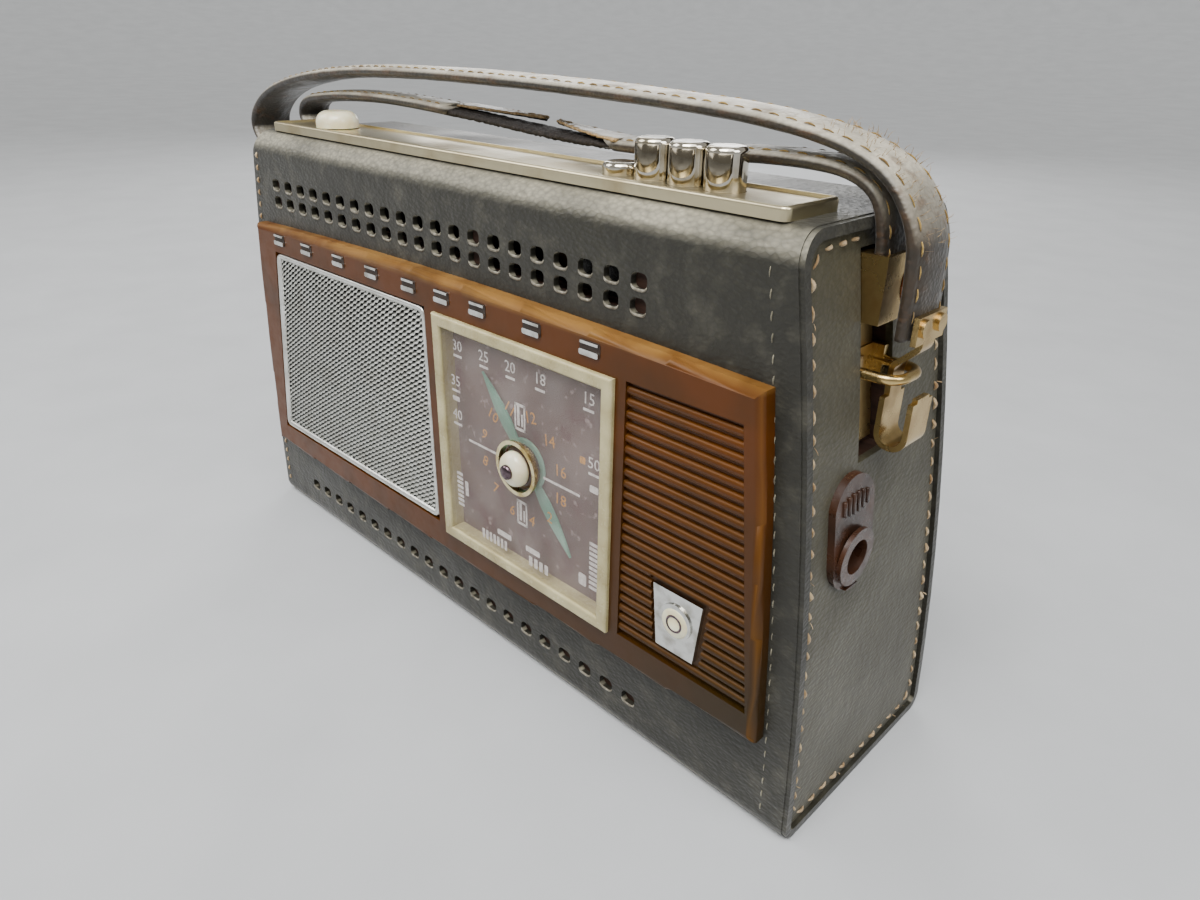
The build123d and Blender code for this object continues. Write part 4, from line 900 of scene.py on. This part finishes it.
def strap_frames(route):
    """Evenly spaced (place, outward, along) along a strap's route, in metres."""
    line = smooth_route([(x * MM, STRAP_Y, z * MM) for x, z in route])
    line = spaced(line, 1.0 * MM) + [line[-1]]
    frames = []
    for i, spot in enumerate(line):
        along = (line[min(i + 1, len(line) - 1)] - line[max(i - 1, 0)]).normalized()
        frames.append((spot, Vector((along.z, 0, -along.x)), along))
    return frames


def strap_ring(place, out, half_w, half_t, sides=36, groove=0.28 * MM, margin=STRAP_MARGIN):
    """A padded strap's section: rolled edges and a shallow groove where each row of stitches lies."""
    ring = []
    for a in round_turn(sides):
        u = half_w * math.copysign(abs(math.cos(a)) ** 0.62, math.cos(a))
        v = half_t * math.copysign(abs(math.sin(a)) ** 0.72, math.sin(a))
        v *= 0.90 + 0.10 * math.cos(math.pi * u / half_w / 1.6)
        dip = math.exp(-(((abs(u) - (half_w - margin)) / (0.7 * MM)) ** 2))
        ring.append(place + DEEP * u + out * (v - math.copysign(groove * dip, v)))
    return ring


def strap_stitches(frames, half_w, half_t, margin, pitch, chance, skip=lambda x: False):
    """Two rows of stitches sunk along a strap's outer face."""
    seam = Shape()
    step = max(1, round(pitch / MM))
    for side in (-1, 1):
        for i in range(4, len(frames) - step - 3, step):
            (a, out, _), (b, out_b, _) = frames[i], frames[i + max(2, step - 2)]
            if skip(a.x / MM):
                continue
            lift = half_t * 0.76
            edge = DEEP * side * (half_w - margin) + DEEP * chance.uniform(-0.15, 0.15) * MM
            thick = 0.26 * MM * chance.uniform(0.75, 1.2)
            seam.bead(a + out * lift + edge, b + out_b * lift + edge, out, thick, thick * 0.9)
    return seam


def hairs(roots, chance):
    """Fine broken fibres that stand out from worn leather."""
    tuft = Shape()
    for root, out in roots:
        bend = Vector((chance.uniform(-1, 1), chance.uniform(-1, 1), chance.uniform(-1, 1))) * 0.7
        rings = []
        for k in range(4):
            t = k / 3
            spot = root + (out + bend * t).normalized() * FIBRE_LENGTH * t * chance.uniform(0.7, 1.0)
            r = FIBRE_WIDTH * (1 - 0.7 * t)
            rings.append([spot + Vector(p) for p in ((r, 0, 0), (-r / 2, r, 0), (-r / 2, -r, r / 2))])
        tuft.loft(rings)
    return tuft


class RADIO_OT_long_strap(bpy.types.Operator):
    """The long strap: padded leather, stitched along both margins, that bows past the left end"""

    bl_idname = "radio.long_strap"
    bl_label = "Long strap"

    def execute(self, context):
        sizes = context.scene.radio_straps
        chance = random.Random(31)
        half_w, half_t = sizes.strap_width / 2, sizes.strap_thickness / 2
        frames = strap_frames(LONG_ROUTE_MM)
        strap = Shape()
        rings = []
        for i, (spot, out, _) in enumerate(frames):
            swell = 1 + 0.02 * math.sin(i * 0.11) + 0.015 * math.sin(i * 0.37)
            spread = 1 + 0.012 * math.sin(i * 0.07)
            rings.append(strap_ring(spot, out, half_w * spread, half_t * swell))
        strap.loft(rings)
        piece = make_piece("long_strap_leather", strap, finish("strap_leather"), "long_strap")
        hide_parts("long_strap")
        seam = strap_stitches(frames, half_w, half_t, STRAP_MARGIN, STRAP_STITCH, chance)
        make_piece("long_strap_stitches", seam, finish("gold_thread"), "long_strap")
        roots = []
        for spot, out, _ in frames:
            if 108 * MM < spot.x and spot.z > 158 * MM:
                for _ in range(3):
                    across = DEEP * chance.uniform(-0.9, 0.9) * half_w
                    roots.append((spot + across + out * half_t * 0.8, out))
        make_piece("long_strap_fibres", hairs(roots, chance), finish("raw_edge"), "long_strap")
        return {"FINISHED"}


class RADIO_OT_handle(bpy.types.Operator):
    """The carrying handle, whose leather has split open over its dark core in the middle"""

    bl_idname = "radio.handle"
    bl_label = "Carrying handle"

    def execute(self, context):
        sizes = context.scene.radio_straps
        chance = random.Random(47)
        half_w, half_t = sizes.handle_width / 2, sizes.handle_thickness / 2
        frames = strap_frames(HANDLE_ROUTE_MM)

        def torn(x):
            return TORN_MM[0] < x < TORN_MM[1]

        cover = Shape()
        start = next(i for i, f in enumerate(frames) if f[0].x / MM < TORN_MM[1])
        end = next(i for i, f in enumerate(frames) if f[0].x / MM < TORN_MM[0])
        for span, ragged in ((frames[:start + 1], -1), (frames[end:], 0)):
            rings = []
            for i, (spot, out, _) in enumerate(span):
                swell = 1 + 0.02 * math.sin(i * 0.13)
                rings.append(strap_ring(spot, out, half_w, half_t * swell, margin=HANDLE_MARGIN))
            edge = rings[ragged]
            pull = span[ragged][2] * (1 if ragged else -1)
            rings[ragged] = [p + pull * chance.uniform(-0.8, 5.0) * MM for p in edge]
            cover.loft(rings)
        piece = make_piece("handle_leather", cover, finish("strap_leather"), "case")
        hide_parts("carry_handle")

        core = Shape()
        rings = []
        for spot, out, _ in frames[start - CORE_REACH:end + CORE_REACH]:
            ring = strap_ring(spot - out * 0.5 * MM, out, half_w * 0.8, half_t * 0.62, sides=24, groove=0)
            rings.append([p + out * chance.uniform(-0.25, 0.25) * MM for p in ring])
        core.loft(rings)
        make_piece("handle_core", core, finish("dark_core"), "case")

        flaps, edges = Shape(), Shape()
        for first, last, near, far in ((end - 1, end - 44, -0.15, 1.0),
                                       (start - 1, start + 34, -0.95, 0.55)):
            step = 1 if last > first else -1
            count = abs(last - first)
            sheet, lip = [], []
            for k, i in enumerate(range(first, last, step)):
                spot, out, _ = frames[i]
                t = k / count
                inner = (near + (0.5 - near) * t ** 1.5 + chance.uniform(-0.10, 0.10)) * half_w
                outer = (far + (0.62 - far) * t ** 2 + chance.uniform(-0.05, 0.05)) * half_w
                lift = half_t * (0.92 + 0.35 * t)
                ring = []
                for j in range(7):
                    u = inner + (outer - inner) * j / 6
                    curl = 0.7 * MM * t * abs(j / 3 - 1) ** 2
                    ring.append(spot + DEEP * u + out * (lift + curl))
                sheet.append(ring + [p - out * 0.9 * MM for p in reversed(ring)])
                for side, edge in ((-1, ring[0]), (1, ring[-1])):
                    lip.append((side, edge - out * 0.45 * MM))
            flaps.loft(sheet)
            for side in (-1, 1):
                rings = []
                for p in [p for s, p in lip if s == side]:
                    r = chance.uniform(0.35, 0.8) * MM
                    rings.append([p + DEEP * r * math.cos(a) + UP * r * 0.8 * math.sin(a)
                                  for a in round_turn(5)])
                edges.loft(rings)
        make_piece("handle_torn_flaps", flaps, finish("strap_leather"), "case")
        make_piece("handle_raw_edges", edges, finish("raw_edge"), "case")
        seam = strap_stitches(frames, half_w, half_t, HANDLE_MARGIN, HANDLE_STITCH, chance, skip=torn)
        make_piece("handle_stitches", seam, finish("gold_thread"), "case")
        return {"FINISHED"}


POINTER_LEAN = math.radians(38.6)
POINTER_PROFILE_MM = [(-32.0, 0.1), (-27.0, 1.2), (-20.0, 2.3), (-14.0, 2.5), (-9.0, 1.9), (-4.0, 1.6),
                      (4.0, 1.6), (9.0, 1.9), (14.0, 2.5), (20.0, 2.3), (27.0, 1.2), (32.0, 0.1)]
HUB_MM = [(8.6, 0.0), (8.6, 0.35), (8.2, 0.5), (4.6, 0.5), (4.6, 0.0)]
HUB_SIDES = 40
# The knob's profiles are (radius in mm, share of the knob's height). The tip's is all in mm.
SKIRT = [(7.2, 0.0), (7.2, 0.28), (6.9, 0.36), (5.6, 0.42), (0.1, 0.42)]
DOME = [(5.5, 0.40), (5.75, 0.5), (5.7, 0.66), (5.2, 0.82), (4.2, 0.93), (2.6, 0.99), (0.1, 1.0)]
TIP_MM = [(2.4, -0.5), (2.4, 0.4), (2.25, 0.9), (1.5, 1.35), (0.6, 1.55), (0.05, 1.6)]


def turned(centre, profile, axis, sides=HUB_SIDES):
    """A closed solid of revolution: profile is (radius, distance along the axis) in mm."""
    shape = Shape()
    one = axis.orthogonal().normalized()
    two = axis.cross(one)
    shape.loft([[centre + (axis * h + (one * math.cos(a) + two * math.sin(a)) * r) * MM
                 for a in round_turn(sides)] for r, h in profile])
    return shape


class RADIO_OT_pointer_and_knob(bpy.types.Operator):
    """The green double-ended pointer with its round hub, and the domed tuning knob"""

    bl_idname = "radio.pointer_and_knob"
    bl_label = "Pointer and tuning knob"

    def execute(self, context):
        centre = Vector((DIAL_CENTRE_MM[0], 0, DIAL_CENTRE_MM[1])) * MM
        front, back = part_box("dial_pointer")[0].y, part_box("dial_pointer")[1].y
        front = max(front, INK_Y_MM * MM + 0.4 * MM)
        along = Vector((-math.sin(POINTER_LEAN), 0, math.cos(POINTER_LEAN)))
        across = along.cross(DEEP)
        shape = Shape()
        rings = []
        for s, w in POINTER_PROFILE_MM:
            middle = centre + along * s * MM
            eased = front + 0.25 * MM
            rings.append([middle + across * u * MM + DEEP * y for u, y in
                          ((-w, eased), (0, front), (w, eased), (w, back), (-w, back))])
        shape.loft(rings)
        # The hub is a ring, so its two end caps give way to a band that joins its first and last circles.
        hub = turned(centre + DEEP * (back - 0.1 * MM), HUB_MM, -DEEP)
        start = len(shape.points)
        shape.points += hub.points
        shape.faces += [tuple(start + i for i in face) for face in hub.faces[:-2]]
        rim = len(hub.points) - HUB_SIDES
        for k in range(HUB_SIDES):
            beside = (k + 1) % HUB_SIDES
            shape.faces.append(tuple(start + i for i in (k, rim + k, rim + beside, beside)))
        pointer = make_piece("pointer_blade", shape, finish("teal_plastic"), "tuning_gang",
                             smooth=False)
        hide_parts("dial_pointer")

        lo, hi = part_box("tuning_knob")
        seat = centre + DEEP * hi.y
        tall = (hi.y - lo.y) / MM
        skirt = turned(seat, [(r, tall * h) for r, h in SKIRT], -DEEP)
        dome = turned(seat, [(r, tall * h) for r, h in DOME], -DEEP)
        piece = make_piece("tuning_knob_skirt", skirt, finish("brown_plastic"), "tuning_knob")
        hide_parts("tuning_knob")
        make_piece("tuning_knob_dome", dome, finish("ivory_plastic"), "tuning_knob")

        tip = turned(centre + DEEP * lo.y, TIP_MM, -DEEP, sides=24)
        make_piece("tuning_knob_tip", tip, finish("dark_steel"), "tuning_knob")
        return {"FINISHED"}


BUTTON_XS_MM = [57.3, 68.5, 79.7, 90.9]
BUTTON_Y_MM = -23.3
WINDOW_TURN, WINDOW_HALF_SWEEP, WINDOW_STEPS = -78, 40, 12


class RADIO_OT_button_windows(bpy.types.Operator):
    """The smoked window down the front of each tall button cap"""

    bl_idname = "radio.button_windows"
    bl_label = "Button windows"

    def execute(self, context):
        for i in (2, 3, 4):
            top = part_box(f"band_button_{i}")[1].z / MM
            centre = Vector((BUTTON_XS_MM[i - 1], BUTTON_Y_MM, 0))
            window = Shape()
            rings = []
            for k in range(WINDOW_STEPS + 1):
                t = k / WINDOW_STEPS * 2 - 1
                a = math.radians(WINDOW_TURN + WINDOW_HALF_SWEEP * t)
                out = Vector((math.cos(a), math.sin(a), 0))
                low = top - 8.2 + 2.6 * (1 - math.sqrt(max(0.0, 1 - t * t)))
                rings.append([(centre + out * r + UP * z) * MM for r, z in
                              ((5.15, low), (5.32, low + 0.15), (5.32, top - 1.5), (5.15, top - 1.35))])
            window.loft(rings)
            make_piece(f"cap_window_{i}", window, finish("cap_window"), f"band_button_{i}")
        return {"FINISHED"}


RIBS = 6
RIB_STEP_MM = 2.2


class RADIO_OT_escutcheon_ribs(bpy.types.Operator):
    """Plain upright ribs moulded above the aerial socket"""

    bl_idname = "radio.escutcheon_ribs"
    bl_label = "Escutcheon ribs"

    def execute(self, context):
        ribs = Shape()
        lo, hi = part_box("aerial_escutcheon")
        z = hi.z - 7.2 * MM
        for i in range(RIBS):
            place = i - (RIBS - 1) / 2
            y = (lo.y + hi.y) / 2 + place * RIB_STEP_MM * MM
            tall = (5.6 - 0.35 * abs(place) ** 1.6) * MM
            low = touch(["aerial_escutcheon"], Vector((OUTSIDE, y, z)), -ACROSS)
            high = touch(["aerial_escutcheon"], Vector((OUTSIDE, y, z + tall * 0.5)), -ACROSS)
            if not low or not high:
                raise RuntimeError("the escutcheon has no face where its ribs go")
            up = (high[0] - low[0]).normalized()
            ribs.box(low[0] + ACROSS * 0.1 * MM, DEEP, up, ACROSS, (0.9 * MM, tall, 0.9 * MM))
        make_piece("escutcheon_ribs", ribs, finish("brown_plastic"), "case")
        return {"FINISHED"}


TONGUE_Z = 0.149
TONGUE_MM = [(1.0, -0.3), (1.0, 0.35), (0.85, 0.6), (0.5, 0.75), (0.08, 0.8)]


class RADIO_OT_clamp_tongues(bpy.types.Operator):
    """The oval copper tongue riveted through each handle clamp"""

    bl_idname = "radio.clamp_tongues"
    bl_label = "Clamp tongues"

    def execute(self, context):
        tongues = Shape()
        for side in (-1, 1):
            face = touch(["handle_clamps"], Vector((side * OUTSIDE, STRAP_Y, TONGUE_Z)), -side * ACROSS)
            if not face:
                raise RuntimeError("the handle has no clamp where its tongue goes")
            rings = []
            for scale, rise in TONGUE_MM:
                x = face[0].x + side * rise * MM
                rings.append([Vector((x, STRAP_Y + (3.4 + 2.3 * scale * math.cos(a)) * MM,
                                      TONGUE_Z + 4.3 * scale * MM * math.sin(a))) for a in round_turn(28)])
            tongues.loft(rings)
        make_piece("clamp_tongues", tongues, finish("copper_tongue"), "case")
        return {"FINISHED"}


# ---------------------------------------------------------------- stage

CAMERA_PLACE = (0.2152, -0.1931, 0.2001)
CAMERA_RIGHT = Vector((0.71303, 0.70086, 0.01951))
CAMERA_UP = Vector((-0.32188, 0.30249, 0.89716))
CAMERA_LENS = 25.29
FLOOR_PROFILE = [(0.02, 0), (0.6, 0), (2.0, 0), (3.4, 0.05), (4.6, 0.3), (5.4, 0.75), (6.0, 1.5)]
FLOOR_SIDES = 96
SKY_STRENGTH = 0.46
AIM = Vector((0.0, 0.0, 0.09))
# Each soft square lamp is (name, place, width, share of the key light's power).
LAMPS = [("key", (0.12, -0.34, 0.66), 0.35, 0.5), ("left", (-0.75, -0.5, 0.8), 0.6, 0.6),
         ("rear", (-0.85, 0.95, 0.7), 0.8, 1.1), ("side", (0.50, 0.0, 0.50), 0.25, 0.13)]
CEILING_STRENGTH, CEILING_SPREAD = 2.1, math.radians(50)
CEILING_DIRECTION = Vector((-0.25, 0.35, -1.0))


def hang(scene, light, place, direction):
    """Puts a light in the scene, shining one way."""
    holder = bpy.data.objects.new(light.name, light)
    holder.location = place
    holder.rotation_euler = direction.to_track_quat("-Z", "Y").to_euler()
    scene.collection.objects.link(holder)


class RADIO_OT_stage(bpy.types.Operator):
    """A pale floor that curves up all round, soft lights and the camera"""

    bl_idname = "radio.stage"
    bl_label = "Stage"

    def execute(self, context):
        sizes = context.scene.radio_stage
        scene = context.scene
        floor = Shape()
        floor.loft([[Vector((r * math.cos(a), r * math.sin(a), z)) for a in round_turn(FLOOR_SIDES)]
                    for r, z in FLOOR_PROFILE], caps=False)
        floor.faces.append(tuple(reversed(range(FLOOR_SIDES))))
        mesh = bpy.data.meshes.new("floor")
        mesh.from_pydata(floor.points, [], floor.faces)
        mesh.materials.append(finish("pale_floor"))
        mesh.shade_smooth()
        ground = bpy.data.objects.new("floor", mesh)
        scene.collection.objects.link(ground)

        world = bpy.data.worlds.new("soft_room")
        world.use_nodes = True
        sky = world.node_tree.nodes["Background"].inputs
        sky["Color"].default_value, sky["Strength"].default_value = sizes.sky, SKY_STRENGTH
        scene.world = world

        for name, place, size, share in LAMPS:
            lamp = bpy.data.lights.new(name, "AREA")
            lamp.shape, lamp.size, lamp.energy = "SQUARE", size, sizes.key_power * share
            hang(scene, lamp, place, AIM - Vector(place))
        sun = bpy.data.lights.new("ceiling", "SUN")
        sun.energy, sun.angle = CEILING_STRENGTH, CEILING_SPREAD
        hang(scene, sun, (0, 0, 0), CEILING_DIRECTION)

        lens = bpy.data.cameras.new("camera")
        lens.lens, lens.sensor_width = CAMERA_LENS, 36.0
        lens.clip_start, lens.clip_end = 0.01, 20.0
        camera = bpy.data.objects.new("camera", lens)
        back = CAMERA_RIGHT.cross(CAMERA_UP)
        turn = Matrix((CAMERA_RIGHT, CAMERA_UP, back)).transposed().to_4x4()
        camera.matrix_world = Matrix.Translation(CAMERA_PLACE) @ turn
        scene.collection.objects.link(camera)
        scene.camera = camera
        return {"FINISHED"}


# ---------------------------------------------------------------- panel

STEPS = ["frame_finishes", "end_stitching", "corner_stitching", "hole_lips", "fascia_trim", "grille",
         "dial_print", "pointer_and_knob", "button_windows", "escutcheon_ribs", "long_strap", "handle",
         "clamp_tongues", "stage"]
GROUPS = {"radio_case": RadioCase, "radio_grille": RadioGrille, "radio_dial": RadioDial,
          "radio_straps": RadioStraps, "radio_colours": RadioColours,
          "radio_stage": RadioStage}


class RADIO_PT_panel(bpy.types.Panel):
    """The radio's sizes, and a button for each step"""

    bl_idname = "RADIO_PT_panel"
    bl_label = "Leather Portable Radio"
    bl_space_type = "VIEW_3D"
    bl_region_type = "UI"
    bl_category = "Radio"

    def draw(self, context):
        for group in GROUPS:
            box = self.layout.box()
            for field in GROUPS[group].__annotations__:
                box.prop(getattr(context.scene, group), field)
        for step in STEPS:
            self.layout.operator(f"radio.{step}")


CLASSES = [*GROUPS.values(), RADIO_OT_frame_finishes, RADIO_OT_end_stitching, RADIO_OT_corner_stitching,
           RADIO_OT_hole_lips, RADIO_OT_fascia_trim, RADIO_OT_grille, RADIO_OT_dial_print,
           RADIO_OT_pointer_and_knob, RADIO_OT_button_windows, RADIO_OT_escutcheon_ribs,
           RADIO_OT_long_strap, RADIO_OT_handle, RADIO_OT_clamp_tongues, RADIO_OT_stage, RADIO_PT_panel]


def register():
    for cls in CLASSES:
        bpy.utils.register_class(cls)
    for name, group in GROUPS.items():
        setattr(bpy.types.Scene, name, bpy.props.PointerProperty(type=group))


def unregister():
    for name in GROUPS:
        delattr(bpy.types.Scene, name)
    for cls in reversed(CLASSES):
        bpy.utils.unregister_class(cls)


def main():
    register()
    for step in STEPS:
        getattr(bpy.ops.radio, step)()


if __name__ == "__main__":
    main()
